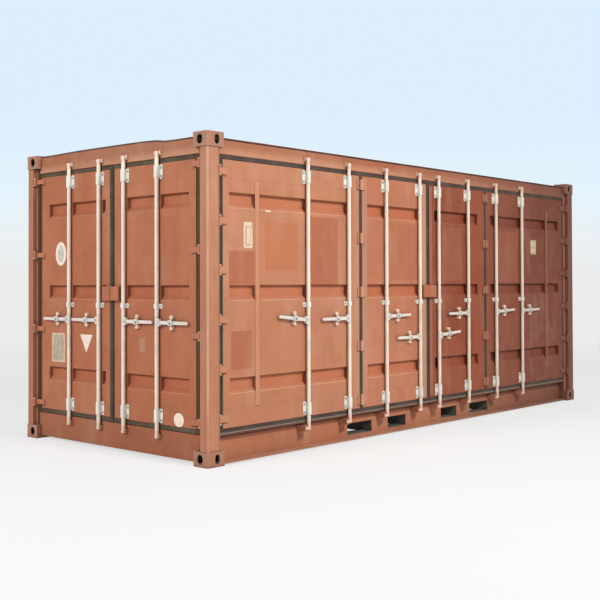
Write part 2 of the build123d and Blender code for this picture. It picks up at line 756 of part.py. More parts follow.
# Rubber seals round the leaves
def seal(face, u, reach):
    """A ring round one leaf, given its reach past the left, right, lower and upper edges."""
    depth = (SEAL_FRONT, SEAL_BACK)
    left, right, low, high = reach
    slab(face, (u[0] - left, u[1] + right), (leaf_bottom - low, leaf_top + high), depth)
    inner = (u[0] - SEAL_SEAT, u[1] + SEAL_SEAT)
    slab(face, inner, (leaf_bottom - SEAL_SEAT, leaf_top + SEAL_SEAT), depth, mode=Mode.SUBTRACT)


meet_reach = (MEETING_GAP - SEAL_SEAT) / 2
fold_reach = (FOLD_GAP - SEAL_SEAT) / 2
side_jamb_reach = SIDE_HINGE_GAP - SEAL_SEAT
side_low = leaf_bottom - rail_top - SEAL_SEAT
side_high = HEAD_GAP - SEAL_SEAT
with BuildPart() as side_seals:
    seal(side_face, edges_1, (side_jamb_reach, fold_reach, side_low, side_high))
    seal(side_face, edges_2, (fold_reach, meet_reach, side_low, side_high))
    seal(side_face, edges_3, (meet_reach, fold_reach, side_low, side_high))
    seal(side_face, edges_4, (fold_reach, side_jamb_reach, side_low, side_high))
finish("side_seals", side_seals)

end_meet = half_meet - MOVING_GAP - SEAL_SEAT
end_jamb_reach = END_HINGE_GAP - MOVING_GAP
end_low = SILL_GAP - MOVING_GAP
end_high = HEAD_GAP - MOVING_GAP
with BuildPart() as door_left_seal:
    seal(end_face, (-end_edge, -half_meet), (end_jamb_reach, end_meet, end_low, end_high))
finish("door_left_seal", door_left_seal)

with BuildPart() as door_right_seal:
    seal(end_face, (half_meet, end_edge), (end_meet, end_jamb_reach, end_low, end_high))
finish("door_right_seal", door_right_seal)


# Hinges on the left posts, as masters at the top of their rows
def lugs(face, pin_u, high, height):
    """The upper and lower lug of a hinge."""
    place = pin_u + (LUG_REACH - PIN_FROM_POST) / 2
    centres = [(place, high - LUG_THICKNESS / 2), (place, high - height + LUG_THICKNESS / 2)]
    blocks(face, centres, (LUG_REACH + PIN_FROM_POST, LUG_THICKNESS), (LUG_FRONT, DOOR_FACE))


def blade(face, pin_u, edge_u, high, height):
    """A cranked blade from the knuckle round the pin to the face of a leaf."""
    trim = LUG_THICKNESS + HINGE_PLAY
    tall = (high - height + trim, high - trim)
    front = PIN_DEPTH + BLADE_FRONT
    land = DOOR_FACE - BLADE_THICKNESS
    edge = edge_u - pin_u
    crank = edge - BLADE_CRANK_BACK
    outline = [
        (-BLADE_THICKNESS, PIN_DEPTH),
        (KNUCKLE_RADIUS, PIN_DEPTH),
        (KNUCKLE_RADIUS, front),
        (crank, front),
        (crank + BLADE_CRANK, land),
        (BLADE_LENGTH, land),
        (BLADE_LENGTH, DOOR_FACE),
        (edge, DOOR_FACE),
        (crank, front + BLADE_NECK),
        (-BLADE_THICKNESS, front + BLADE_NECK),
    ]
    plan(face, [(pin_u + u, depth) for u, depth in outline], tall)
    tip_x, tip_y = spot(face, pin_u + BLADE_LENGTH, (land + DOOR_FACE) / 2)
    through = edges().filter_by(Axis((0, 0, 0), face.z_dir))
    corners = through.sort_by_distance((tip_x, tip_y, (tall[0] + tall[1]) / 2))
    chamfer(corners[0:2], length=BLADE_CHAMFER)
    barrel(face, pin_u, PIN_DEPTH, KNUCKLE_RADIUS, tall)


end_pitch = (leaf_height - END_HINGE_DROP - END_HINGE_RISE) / (END_HINGES - 1)
side_pitch = (leaf_height - SIDE_HINGE_DROP - SIDE_HINGE_RISE) / (SIDE_HINGES - 1)
fold_pitch = (leaf_height - FOLD_HINGE_DROP - FOLD_HINGE_RISE) / (FOLD_HINGES - 1)
end_top = leaf_top - END_HINGE_DROP + END_HINGE_HEIGHT / 2
side_top = leaf_top - SIDE_HINGE_DROP + SIDE_HINGE_HEIGHT / 2
end_z = (end_top - END_HINGE_HEIGHT, end_top)
with BuildPart() as end_lug:
    lugs(end_face, -end_pin, end_top, END_HINGE_HEIGHT)
    column(end_face, -end_pin, PIN_DEPTH, PIN_RADIUS, end_z)

with BuildPart() as end_blade:
    blade(end_face, -end_pin, -end_edge, end_top, END_HINGE_HEIGHT)
    column(end_face, -end_pin, PIN_DEPTH, PIN_RADIUS + PIN_FIT, end_z, mode=Mode.SUBTRACT)

with BuildPart() as side_lug:
    lugs(side_face, -side_pin, side_top, SIDE_HINGE_HEIGHT)

with BuildPart() as side_blade:
    blade(side_face, -side_pin, -side_edge, side_top, SIDE_HINGE_HEIGHT)

with BuildPart() as side_lugs:
    with rows(SIDE_HINGES, side_pitch):
        add(side_lug.part)
    mirror(about=Plane.YZ)

with BuildPart() as hinge_lugs:
    with rows(END_HINGES, end_pitch):
        add(end_lug.part)
    mirror(about=Plane.XZ)
    add(side_lugs.part)
finish("hinge_lugs", hinge_lugs)

with BuildPart() as door_left_blades:
    with rows(END_HINGES, end_pitch):
        add(end_blade.part)
finish("door_left_blades", door_left_blades)

with BuildPart() as door_right_blades:
    mirror(door_left_blades.part, about=Plane.XZ)
finish("door_right_blades", door_right_blades)

# Hinges of the folding side: blades at the posts, and barrels in front of the gaps between leaves
fold_top = leaf_top - FOLD_HINGE_DROP + FOLD_HINGE_HEIGHT / 2
fold_z = (fold_top - FOLD_HINGE_HEIGHT, fold_top)
with BuildPart() as fold_hinge:
    fold_u = (-FOLD_BLADE - fold_at, FOLD_BLADE - fold_at)
    slab(side_face, fold_u, fold_z, (DOOR_FACE - BLADE_THICKNESS, DOOR_FACE))
    chamfer(edges().filter_by(Axis.Y), length=BLADE_CHAMFER)
    barrel(side_face, -fold_at, DOOR_FACE - KNUCKLE_RADIUS, KNUCKLE_RADIUS, fold_z)

with BuildPart() as side_hinges:
    with rows(SIDE_HINGES, side_pitch):
        add(side_blade.part)
    with rows(FOLD_HINGES, fold_pitch):
        add(fold_hinge.part)
    mirror(about=Plane.YZ)
finish("side_hinges", side_hinges)


# Bearings and catches of the lock gear, as masters at the middle of a face and at floor level
def bearing(face, toward, height, strap_height):
    """A base plate, longer to one side, and the strap that holds the bar to it."""
    inner = BAR_RADIUS + BAR_FIT
    outer = inner + BEARING_STRAP
    wings = [((inner + BEARING_LONG_WING) / 2 * toward, BEARING_LONG_WING - inner)]
    wings += [((inner + BEARING_SHORT_WING) / 2 * -toward, BEARING_SHORT_WING - inner)]
    for middle, width in wings:
        blocks(face, [(middle, 0)], (width, height), (DOOR_FACE - BEARING_PLATE, DOOR_FACE))
    through = edges().filter_by(Axis((0, 0, 0), face.z_dir))
    ends = through.sort_by(Axis((0, 0, 0), face.x_dir * toward))
    chamfer(ends[-2:], length=BEARING_CORNER)
    for reach, mode in ((outer, Mode.ADD), (inner, Mode.SUBTRACT)):
        front = BAR_DEPTH - reach
        shoulder = reach - BEARING_CHAMFER
        outline = [(-reach, DOOR_FACE), (-reach, front + BEARING_CHAMFER), (-shoulder, front)]
        outline += [(shoulder, front), (reach, front + BEARING_CHAMFER), (reach, DOOR_FACE)]
        plan(face, outline, (-strap_height / 2, strap_height / 2), mode=mode)


def catch(face):
    """A plate with a tapered lug above and below the handle, open to the front."""
    half = CATCH_WIDTH / 2
    land = DOOR_FACE - CATCH_PLATE
    blocks(face, [(0, 0)], (CATCH_WIDTH, CATCH_HEIGHT), (land, DOOR_FACE))
    chamfer(edges().filter_by(Axis((0, 0, 0), face.z_dir)), length=CATCH_CORNER)
    clear = HANDLE_ROOT / 2 + MOVING_GAP
    for up in (-1, 1):
        section = [
            (land, up * clear),
            (CATCH_FRONT, up * clear),
            (CATCH_FRONT, up * (clear + CATCH_TIP)),
            (land, up * (clear + CATCH_ROOT)),
        ]
        beam(face, [section], (-half, half))


low_handles = [number in SIDE_LOW_HANDLES for number in range(len(side_bars))]
side_handle_z = [LOW_HANDLE_Z if low else HANDLE_Z for low in low_handles]
catch_share = CATCH_FROM_BAR / handle_length
side_catch_z = [z + rise * catch_share for z, rise in zip(side_handle_z, SIDE_HANDLE_RISES)]
side_catches = [bar + toward * CATCH_FROM_BAR for bar, toward in zip(side_bars, SIDE_HANDLES)]
end_catches = [bar + toward * CATCH_FROM_BAR for bar, toward in zip(end_bars, END_HANDLES)]

outer_bearings = (leaf_top - TOP_BEARING_DROP, leaf_bottom + BOTTOM_BEARING_RISE)
middle_bearing = HANDLE_Z + MIDDLE_BEARING_RISE

with BuildPart() as side_long_bearing:
    bearing(side_face, -1, BEARING_HEIGHT, BEARING_STRAP_HEIGHT)

with BuildPart() as side_short_bearing:
    bearing(side_face, -1, MIDDLE_BEARING_HEIGHT, MIDDLE_BEARING_HEIGHT)

with BuildPart() as side_catch:
    catch(side_face)

with BuildPart() as end_long_bearing:
    bearing(end_face, 1, BEARING_HEIGHT, BEARING_STRAP_HEIGHT)

with BuildPart() as end_short_bearing:
    bearing(end_face, 1, MIDDLE_BEARING_HEIGHT, MIDDLE_BEARING_HEIGHT)

with BuildPart() as end_catch:
    catch(end_face)

with BuildPart() as side_bar_brackets:
    with Locations(*[(bar, 0, z) for bar in side_bars for z in outer_bearings]):
        add(side_long_bearing.part)
    with Locations(*[(bar, 0, middle_bearing) for bar in side_bars]):
        add(side_short_bearing.part)
    with Locations(*[(u, 0, z) for u, z in zip(side_catches, side_catch_z)]):
        add(side_catch.part)
finish("side_bar_brackets", side_bar_brackets)


def door_brackets(bars, catches):
    """The bearings and catches of one end door."""
    with Locations(*[(0, -bar, z) for bar in bars for z in outer_bearings]):
        add(end_long_bearing.part)
    with Locations(*[(0, -bar, middle_bearing) for bar in bars]):
        add(end_short_bearing.part)
    with Locations(*[(0, -u, HANDLE_Z) for u in catches]):
        add(end_catch.part)


with BuildPart() as door_left_brackets:
    door_brackets(end_bars[:2], end_catches[:2])
finish("door_left_brackets", door_left_brackets)

with BuildPart() as door_right_brackets:
    door_brackets(end_bars[2:], end_catches[2:])
finish("door_right_brackets", door_right_brackets)


# Keepers that hold the ends of the bars
def cheeks(face, z):
    """Two upright cheeks beside a cam, open to the front."""
    middle = CAM_RADIUS + MOVING_GAP + KEEPER_PLATE / 2
    low = z - CHEEK_HEIGHT / 2
    high = z + CHEEK_HEIGHT / 2
    section = [
        (HEAD_FACE, low),
        (CHEEK_FRONT + CHEEK_CORNER, low),
        (CHEEK_FRONT, low + CHEEK_CORNER),
        (CHEEK_FRONT, high - CHEEK_CORNER),
        (CHEEK_FRONT + CHEEK_CORNER, high),
        (HEAD_FACE, high),
    ]
    for side in (-middle, middle):
        beam(face, [section], (side - KEEPER_PLATE / 2, side + KEEPER_PLATE / 2))


def shelves(face):
    """Two shelves above and below a reaching cam, closed at its tip, open to the front."""
    right = -BAR_RADIUS - MOVING_GAP
    left = -CAM_REACH - MOVING_GAP - KEEPER_PLATE
    low = bottom_cam - MOVING_GAP
    high = bottom_cam + CAM_HEIGHT + MOVING_GAP
    depth = (KEEPER_FRONT, RAIL_WEB)
    slab(face, (left, right), (low - KEEPER_PLATE, high + KEEPER_PLATE), depth)
    slab(face, (left + KEEPER_PLATE, right), (low, high), depth, mode=Mode.SUBTRACT)


with BuildPart() as side_keeper:
    cheeks(side_face, top_cam + CAM_HEIGHT / 2)
    shelves(side_face)

with BuildPart() as end_keeper:
    cheeks(end_face, top_cam + CAM_HEIGHT / 2)
    cheeks(end_face, bottom_cam + CAM_HEIGHT / 2)

with BuildPart() as bar_keepers:
    with along_side(side_bars):
        add(side_keeper.part)
    with along_end(end_bars):
        add(end_keeper.part)
finish("bar_keepers", bar_keepers)

# Overlap block of the folding side, over its meeting gap
with BuildPart() as side_overlap_block:
    block_z = (BLOCK_BOTTOM, BLOCK_BOTTOM + BLOCK_HEIGHT)
    slab(side_face, (-BLOCK_HALF_WIDTH, BLOCK_HALF_WIDTH), block_z, (BLOCK_FRONT, DOOR_FACE))
    chamfer(edges().filter_by(Axis.Z).group_by(Axis.Y)[0], length=BLOCK_CHAMFER)
finish("side_overlap_block", side_overlap_block)


# Lock bars, each with its cams, hub and handle
def lock_bar(face, bar, toward, handle_z, rise, reaching):
    """A round bar with a handle to one side that rises to its tip; a reaching lower cam points left."""
    column(face, bar, BAR_DEPTH, BAR_RADIUS, (bottom_cam, top_cam + CAM_HEIGHT))
    for low in (top_cam, bottom_cam):
        barrel(face, bar, BAR_DEPTH, CAM_RADIUS, (low, low + CAM_HEIGHT))
    if reaching:
        front = BAR_DEPTH - CAM_WIDTH / 2
        back = BAR_DEPTH + CAM_WIDTH / 2
        nose = bar - CAM_REACH
        outline = [(bar, front), (nose + CAM_CHAMFER, front), (nose, front + CAM_CHAMFER)]
        outline += [(nose, back - CAM_CHAMFER), (nose + CAM_CHAMFER, back), (bar, back)]
        plan(face, outline, (bottom_cam, bottom_cam + CAM_HEIGHT))
    reach = bar + toward * HUB_REACH
    shoulder = reach - toward * HUB_CHAMFER
    low = handle_z - HUB_HEIGHT / 2
    high = handle_z + HUB_HEIGHT / 2
    with BuildSketch(face.offset(-BAR_DEPTH - HUB_THICKNESS / 2)) as hub:
        with BuildLine():
            Polyline(
                (bar, low),
                (shoulder, low),
                (reach, low + HUB_CHAMFER),
                (reach, high - HUB_CHAMFER),
                (shoulder, high),
                (bar, high),
                close=True,
            )
        make_face()
    extrude(hub.sketch, amount=HUB_THICKNESS)
    tip = bar + toward * handle_length
    with BuildSketch(face.offset(-BAR_DEPTH)) as lever:
        with BuildLine():
            Polyline(
                (bar, handle_z - HANDLE_ROOT / 2),
                (tip, handle_z + rise - HANDLE_TIP / 2),
                (tip, handle_z + rise + HANDLE_TIP / 2),
                (bar, handle_z + HANDLE_ROOT / 2),
                close=True,
            )
        make_face()
    extrude(lever.sketch, amount=HANDLE_THICKNESS)
    clasp_place = (bar + toward * CATCH_FROM_BAR, handle_z + rise * catch_share)
    with BuildSketch(face.offset(HANDLE_THICKNESS - BAR_DEPTH)) as clasp:
        with Locations(clasp_place):
            Rectangle(CLASP_WIDTH, CLASP_HEIGHT)
        chamfer(clasp.vertices(), length=CLASP_CORNER)
    extrude(clasp.sketch, amount=CLASP_THICKNESS)


for number, bar in enumerate(side_bars):
    with BuildPart() as side_lock_bar:
        rise = SIDE_HANDLE_RISES[number]
        lock_bar(side_face, bar, SIDE_HANDLES[number], side_handle_z[number], rise, reaching=True)
    finish(f"side_lock_bar_{number + 1}", side_lock_bar)

for number, bar in enumerate(end_bars):
    with BuildPart() as end_lock_bar:
        lock_bar(end_face, bar, END_HANDLES[number], HANDLE_Z, END_HANDLE_RISE, reaching=False)
    finish(f"end_lock_bar_{number + 1}", end_lock_bar)
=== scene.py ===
import math

import bmesh
import bpy
from mathutils import Matrix, Vector


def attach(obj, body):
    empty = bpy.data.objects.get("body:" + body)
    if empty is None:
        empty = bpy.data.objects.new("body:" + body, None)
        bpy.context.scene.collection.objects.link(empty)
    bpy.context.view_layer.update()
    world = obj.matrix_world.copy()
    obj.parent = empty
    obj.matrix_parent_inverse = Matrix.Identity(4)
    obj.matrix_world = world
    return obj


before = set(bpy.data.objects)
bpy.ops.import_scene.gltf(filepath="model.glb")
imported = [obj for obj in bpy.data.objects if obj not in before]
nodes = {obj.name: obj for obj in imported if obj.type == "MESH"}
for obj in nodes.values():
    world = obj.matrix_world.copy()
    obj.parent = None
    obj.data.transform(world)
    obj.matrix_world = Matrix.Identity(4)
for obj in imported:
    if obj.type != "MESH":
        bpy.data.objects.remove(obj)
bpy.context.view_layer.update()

# Places on the solids, in metres. A depth is how far in from the outer plane of a face.
HALF_X = 3.029
HALF_Y = 1.219
FOLD = HALF_X * 0.3552
LEAF_FACE = 0.046
LEAF_LOW = 0.278
LEAF_HIGH = 2.388
HEADER_FACE = 0.048
HEADER_FOOT = 2.4285
HEADER_TOP = 2.5535
JAMB_DEPTHS = (0.04, 0.052)
RECESS_DEPTHS = (0.05, 0.08)
FLOOR_TOP = 0.228
SEAM_Z = (2.244, 0.427)
FOLD_HINGE_FOOT = 0.355 - 0.0475
FOLD_HINGE_PITCH = 0.4885
# How far the back of an added piece lies inside what carries it
SUNK = 0.0002


# Node graphs
class Graph:
    """The nodes of a material or a world, made and joined by name."""

    def __init__(self, owner):
        self.owner = owner
        owner.use_nodes = True
        self.tree = owner.node_tree
        self.tree.nodes.clear()
        coordinates = self.add("ShaderNodeTexCoord")
        self.place = coordinates.outputs["Object"]
        self.outward = coordinates.outputs["Normal"]
        self.generated = coordinates.outputs["Generated"]

    def add(self, kind, **properties):
        made = self.tree.nodes.new(kind)
        for key, value in properties.items():
            setattr(made, key, value)
        return made

    def set(self, socket, value):
        """Joins a socket to another one, or writes a plain value into it."""
        if isinstance(value, bpy.types.NodeSocket):
            self.tree.links.new(value, socket)
        elif hasattr(value, "__len__") and socket.type == "RGBA" and len(value) == 3:
            socket.default_value = (*value, 1.0)
        else:
            socket.default_value = value

    def math(self, operation, a, b=0.0, clamp=False):
        made = self.add("ShaderNodeMath", operation=operation, use_clamp=clamp)
        self.set(made.inputs[0], a)
        self.set(made.inputs[1], b)
        return made.outputs[0]

    def both(self, *masks):
        """Masks and shares multiplied with each other."""
        result = masks[0]
        for mask in masks[1:]:
            result = self.math("MULTIPLY", result, mask)
        return result

    def stretched(self, stretch):
        made = self.add("ShaderNodeMapping")
        self.set(made.inputs["Vector"], self.place)
        made.inputs["Scale"].default_value = stretch
        return made.outputs[0]

    def noise(self, scale, detail=3.0, rough=0.5, stretch=None, warp=0.0):
        made = self.add("ShaderNodeTexNoise")
        self.set(made.inputs["Vector"], self.stretched(stretch) if stretch else self.place)
        made.inputs["Scale"].default_value = scale
        made.inputs["Detail"].default_value = detail
        made.inputs["Roughness"].default_value = rough
        made.inputs["Distortion"].default_value = warp
        return made.outputs[0]

    def ramp(self, value, low, high, to_low=0.0, to_high=1.0):
        made = self.add("ShaderNodeMapRange", interpolation_type="SMOOTHSTEP")
        self.set(made.inputs["Value"], value)
        made.inputs["From Min"].default_value = low
        made.inputs["From Max"].default_value = high
        made.inputs["To Min"].default_value = to_low
        made.inputs["To Max"].default_value = to_high
        return made.outputs[0]

    def mix(self, share, a, b):
        made = self.add("ShaderNodeMix", data_type="RGBA", blend_type="MIX")
        self.set(made.inputs[0], share)
        self.set(made.inputs[6], a)
        self.set(made.inputs[7], b)
        return made.outputs[2]

    def axes(self, source=None):
        made = self.add("ShaderNodeSeparateXYZ")
        self.set(made.inputs[0], source or self.place)
        return made.outputs

    def band(self, value, low, high, soft):
        """1 between two places and 0 outside them."""
        up = self.ramp(value, low - soft, low + soft)
        down = self.ramp(value, high - soft, high + soft, 1.0, 0.0)
        return self.both(up, down)

    def panel(self, along, x, z):
        """1 inside an upright rectangle, seen square on."""
        axes = self.axes()
        return self.both(self.band(axes[along], *x, 0.004), self.band(axes[2], *z, 0.004))

    def crevice(self, distance):
        """1 in corners and under parts, 0 in the open."""
        made = self.add("ShaderNodeAmbientOcclusion", samples=4, only_local=False)
        made.inputs["Distance"].default_value = distance
        return self.math("SUBTRACT", 1.0, made.outputs["AO"])

    def edges(self, radius):
        """1 on sharp outer and inner edges."""
        made = self.add("ShaderNodeBevel", samples=4)
        made.inputs["Radius"].default_value = radius
        plain = self.add("ShaderNodeNewGeometry").outputs["Normal"]
        dot = self.add("ShaderNodeVectorMath", operation="DOT_PRODUCT")
        self.set(dot.inputs[0], made.outputs[0])
        self.set(dot.inputs[1], plain)
        return self.ramp(dot.outputs["Value"], 0.75, 0.99, 1.0, 0.0)

    def facing(self, axis, low, high):
        """1 where the surface faces along an axis of its body."""
        return self.ramp(self.axes(self.outward)[axis], low, high)

    def size(self, axis):
        """How far a place lies from the middle along an axis."""
        return self.math("ABSOLUTE", self.axes()[axis])

    def inward(self, axis, outer):
        """How far a place lies inside the two outer planes of an axis."""
        return self.math("SUBTRACT", outer, self.size(axis))

    def bump(self, height, strength, distance, normal=None):
        made = self.add("ShaderNodeBump")
        made.inputs["Strength"].default_value = strength
        made.inputs["Distance"].default_value = distance
        self.set(made.inputs["Height"], height)
        if normal:
            self.set(made.inputs["Normal"], normal)
        return made.outputs[0]

    def looked_at(self):
        """1 for what the camera sees, straight on or by way of metal and glass."""
        rays = self.add("ShaderNodeLightPath").outputs
        seen = self.math("MAXIMUM", rays["Is Camera Ray"], rays["Is Glossy Ray"])
        return self.math("MAXIMUM", seen, rays["Is Transmission Ray"])

    def blend(self, share, a, b):
        """Two shaders mixed with each other."""
        made = self.add("ShaderNodeMixShader")
        for socket, value in zip(made.inputs, (share, a, b)):
            self.set(socket, value)
        return made.outputs[0]

    def output(self, kind, shader):
        self.set(self.add(kind).inputs["Surface"], shader)

    def finish(self, color, roughness, normal=None, metallic=0.0, specular=0.5):
        shader = self.add("ShaderNodeBsdfPrincipled")
        self.set(shader.inputs["Base Color"], color)
        self.set(shader.inputs["Roughness"], roughness)
        shader.inputs["Metallic"].default_value = metallic
        shader.inputs["Specular IOR Level"].default_value = specular
        if normal:
            self.set(shader.inputs["Normal"], normal)
        self.output("ShaderNodeOutputMaterial", shader.outputs[0])
        return self.owner


def material(name):
    return Graph(bpy.data.materials.new(name))


def shade(tone, share):
    """A colour made darker, or lighter where the share is over one."""
    return tuple(min(c * share, 1.0) for c in tone)


def tinted(tone, red, green, blue):
    """A colour with each of its channels changed by a share."""
    return tone[0] * red, tone[1] * green, tone[2] * blue


RUST = (0.12, 0.042, 0.018)
# The next colour is painted shade for the hollows of the castings.
HOLLOW_SHADE = (0.045, 0.026, 0.018)
DUST = (0.52, 0.42, 0.34)


def paint(
    name, tone, faded, patches=(), lines=(), grime_and_shade=0.6, wear=0.5, streaks=0.2, dust=0.2,
    under=0.8, flank=None, walls=0.45, extras=None,
):
    """Weathered red-brown paint.

    Patches are painted-over rectangles and lines are the heights of weld seams. Under is how far
    painted shade darkens the undersides, walls how far painted shade darkens what faces along the
    flank axis, and grime how far dirt together with painted shade darkens the corners. Extras adds
    marks, some of them painted light and shade.
    """
    g = material(name)
    cloud = g.noise(0.55, 4.0, 0.55, warp=0.3)
    color = g.mix(g.ramp(cloud, 0.36, 0.64), tone, faded)
    hue = g.noise(2.3, 5.0, 0.6, warp=0.8)
    color = g.mix(g.ramp(hue, 0.5, 0.72, 0.0, 0.3), color, tinted(tone, 1.1, 1.02, 0.72))
    color = g.mix(g.ramp(hue, 0.3, 0.48, 0.3, 0.0), color, tinted(tone, 0.93, 0.88, 1.05))
    mottle = g.noise(6.5, 7.0, 0.62)
    color = g.mix(g.ramp(mottle, 0.42, 0.72, 0.0, 0.28), color, shade(tone, 0.72))
    for along, x, z, patch, share in patches:
        worn = g.ramp(g.noise(9.0, 5.0), 0.2, 0.5, share * 0.8, share)
        color = g.mix(g.both(g.panel(along, x, z), worn), color, patch)
    fall = g.noise(1.0, 5.0, 0.55, stretch=(9.0, 9.0, 0.9), warp=0.3)
    color = g.mix(g.ramp(fall, 0.5, 0.8, 0.0, streaks), color, shade(tone, 0.55))
    pale_fall = g.noise(1.0, 4.0, 0.5, stretch=(5.0, 5.0, 1.4), warp=0.5)
    pale = tuple(0.55 * c + 0.45 * d for c, d in zip(faded, DUST))
    color = g.mix(g.ramp(pale_fall, 0.5, 0.78, 0.0, 0.3), color, pale)
    for place in lines:
        seam = g.band(g.axes()[2], place - 0.002, place + 0.002, 0.002)
        color = g.mix(g.both(seam, 0.32), color, shade(tone, 0.45))
    # Painted shade: faces that look down are darkened by the share under.
    below = g.both(g.facing(2, -0.1, -0.6), under)
    color = g.mix(below, color, tinted(tone, 0.3, 0.19, 0.19))
    # Painted shade: walls that face along the flank axis, such as the ends of the recesses, are
    # darkened by the share walls.
    if flank is not None:
        sides = g.math("MAXIMUM", g.facing(flank, 0.4, 0.8), g.facing(flank, -0.4, -0.8))
        color = g.mix(g.both(sides, walls), color, tinted(tone, 0.42, 0.26, 0.26))
    if extras:
        color = extras(g, color, tone)
    # Dirt with painted shade: ambient occlusion darkens corners, hollows and what lies under other
    # parts, less on faces that look up.
    corner = g.both(g.ramp(g.crevice(0.07), 0.2, 0.75, 0.0, grime_and_shade), g.facing(2, 0.75, 0.05))
    dirt_and_shade_shape = g.ramp(g.noise(14.0, 5.0, 0.6), 0.25, 0.6, 0.45, 1.0)
    color = g.mix(g.both(corner, dirt_and_shade_shape), color, shade(tone, 0.28))
    edge = g.edges(0.0035)
    chips = g.ramp(g.noise(38.0, 6.0, 0.7), 0.5, 0.62)
    color = g.mix(g.both(edge, chips, wear), color, RUST)
    color = g.mix(g.both(edge, 0.16 * wear), color, DUST)
    spots = g.ramp(g.noise(21.0, 8.0, 0.75, warp=0.4), 0.705, 0.74, 0.0, 0.75)
    color = g.mix(spots, color, RUST)
    settled = g.ramp(g.noise(5.0, 6.0, 0.6), 0.25, 0.6, dust * 0.4, dust)
    color = g.mix(g.both(g.facing(2, 0.85, 0.98), settled), color, DUST)
    rough = g.ramp(mottle, 0.3, 0.75, 0.5, 0.68)
    rough = g.math("ADD", rough, g.both(spots, 0.25), clamp=True)
    normal = g.bump(g.noise(1.9, 3.0, 0.5), 0.35, 0.012)
    normal = g.bump(g.noise(150.0, 3.0, 0.6), 0.12, 0.0008, normal)
    normal = g.bump(g.math("ADD", spots, chips), 0.08, 0.0008, normal)
    return g.finish(color, rough, normal, specular=0.22)


def gear(
    name, tone, stain, rust=0.3, metallic=0.0, grime_and_shade=0.5, bands=(), under=0.4, fade=0.0,
):
    """Dull galvanised steel with spangle, stains and rust at its edges.

    Bands are other tones at heights, and fade is how brown it gets towards the blind end. The share
    grime is how far dirt together with painted shade darkens the corners, and under how far painted
    shade darkens the undersides.
    """
    g = material(name)
    color = g.mix(g.ramp(g.noise(7.0, 6.0, 0.6), 0.35, 0.7), tone, stain)
    for low, high, other, share in bands:
        color = g.mix(g.both(g.band(g.axes()[2], low, high, 0.006), share), color, other)
    if fade:
        color = g.mix(g.ramp(g.axes()[0], -1.5, 2.8, 0.0, fade), color, (0.5, 0.33, 0.25))
    cells = g.add("ShaderNodeTexVoronoi", feature="F1")
    g.set(cells.inputs["Vector"], g.place)
    cells.inputs["Scale"].default_value = 95.0
    grey = g.add("ShaderNodeRGBToBW")
    g.set(grey.inputs[0], cells.outputs["Color"])
    color = g.mix(g.ramp(grey.outputs[0], 0.0, 1.0, 0.0, 0.14), color, shade(tone, 0.6))
    fall = g.ramp(g.noise(1.0, 6.0, 0.6, stretch=(40.0, 40.0, 1.6)), 0.52, 0.78, 0.0, 0.35)
    color = g.mix(fall, color, (0.36, 0.25, 0.18))
    # Dirt with painted shade: ambient occlusion darkens the corners.
    corner = g.ramp(g.crevice(0.03), 0.3, 0.95, 0.0, grime_and_shade)
    color = g.mix(corner, color, (0.16, 0.1, 0.07))
    spots = g.ramp(g.noise(30.0, 8.0, 0.75, warp=0.5), 0.66, 0.72, 0.0, rust)
    color = g.mix(spots, color, (0.2, 0.075, 0.03))
    edge = g.both(g.edges(0.002), g.ramp(g.noise(55.0, 4.0), 0.5, 0.65, 0.0, rust * 0.7))
    color = g.mix(edge, color, (0.19, 0.085, 0.04))
    # Painted shade: faces that look down are darkened by the share under.
    color = g.mix(g.both(g.facing(2, -0.3, -0.8), under), color, (0.05, 0.022, 0.014))
    rough = g.ramp(g.noise(22.0, 4.0), 0.3, 0.7, 0.4, 0.62)
    normal = g.bump(g.noise(170.0, 3.0, 0.6), 0.15, 0.0006)
    normal = g.bump(spots, 0.1, 0.0006, normal)
    return g.finish(color, rough, normal, metallic=metallic, specular=0.5)


def rubber(name, tone, pale, lower=None, hinged=None):
    """Aged rubber with cracks and smears of paint.

    Lower is the tone of the paler bottom lip, which also gets a painted highlight along its edge,
    hinged that of the upright lips at the hinges.
    """
    g = material(name)
    color = g.mix(g.ramp(g.noise(5.0, 6.0, 0.6), 0.35, 0.68), tone, pale)
    if lower:
        color = g.mix(g.band(g.axes()[2], 0.2, 0.252, 0.003), color, lower)
        # Painted highlight: a pale line along the edge of the lower lip.
        lip_highlight = g.band(g.axes()[2], 0.2375, 0.2415, 0.0015)
        color = g.mix(lip_highlight, color, (0.42, 0.29, 0.22))
    if hinged:
        color = g.mix(g.ramp(g.size(1), 1.0, 1.03, 0.0, 0.75), color, hinged)
    smear = g.ramp(g.noise(17.0, 7.0, 0.7, warp=0.6), 0.66, 0.76, 0.0, 0.4)
    color = g.mix(smear, color, (0.2, 0.09, 0.05))
    cracks = g.noise(1.0, 4.0, 0.6, stretch=(120.0, 120.0, 60.0))
    color = g.mix(g.ramp(cracks, 0.55, 0.7, 0.0, 0.5), color, shade(tone, 0.5))
    # Painted shade: ambient occlusion darkens the hollows.
    color = g.mix(g.ramp(g.crevice(0.03), 0.3, 0.9, 0.0, 0.4), color, shade(tone, 0.35))
    normal = g.bump(cracks, 0.3, 0.0012)
    return g.finish(color, g.ramp(smear, 0.0, 0.5, 0.8, 0.62), normal, specular=0.3)


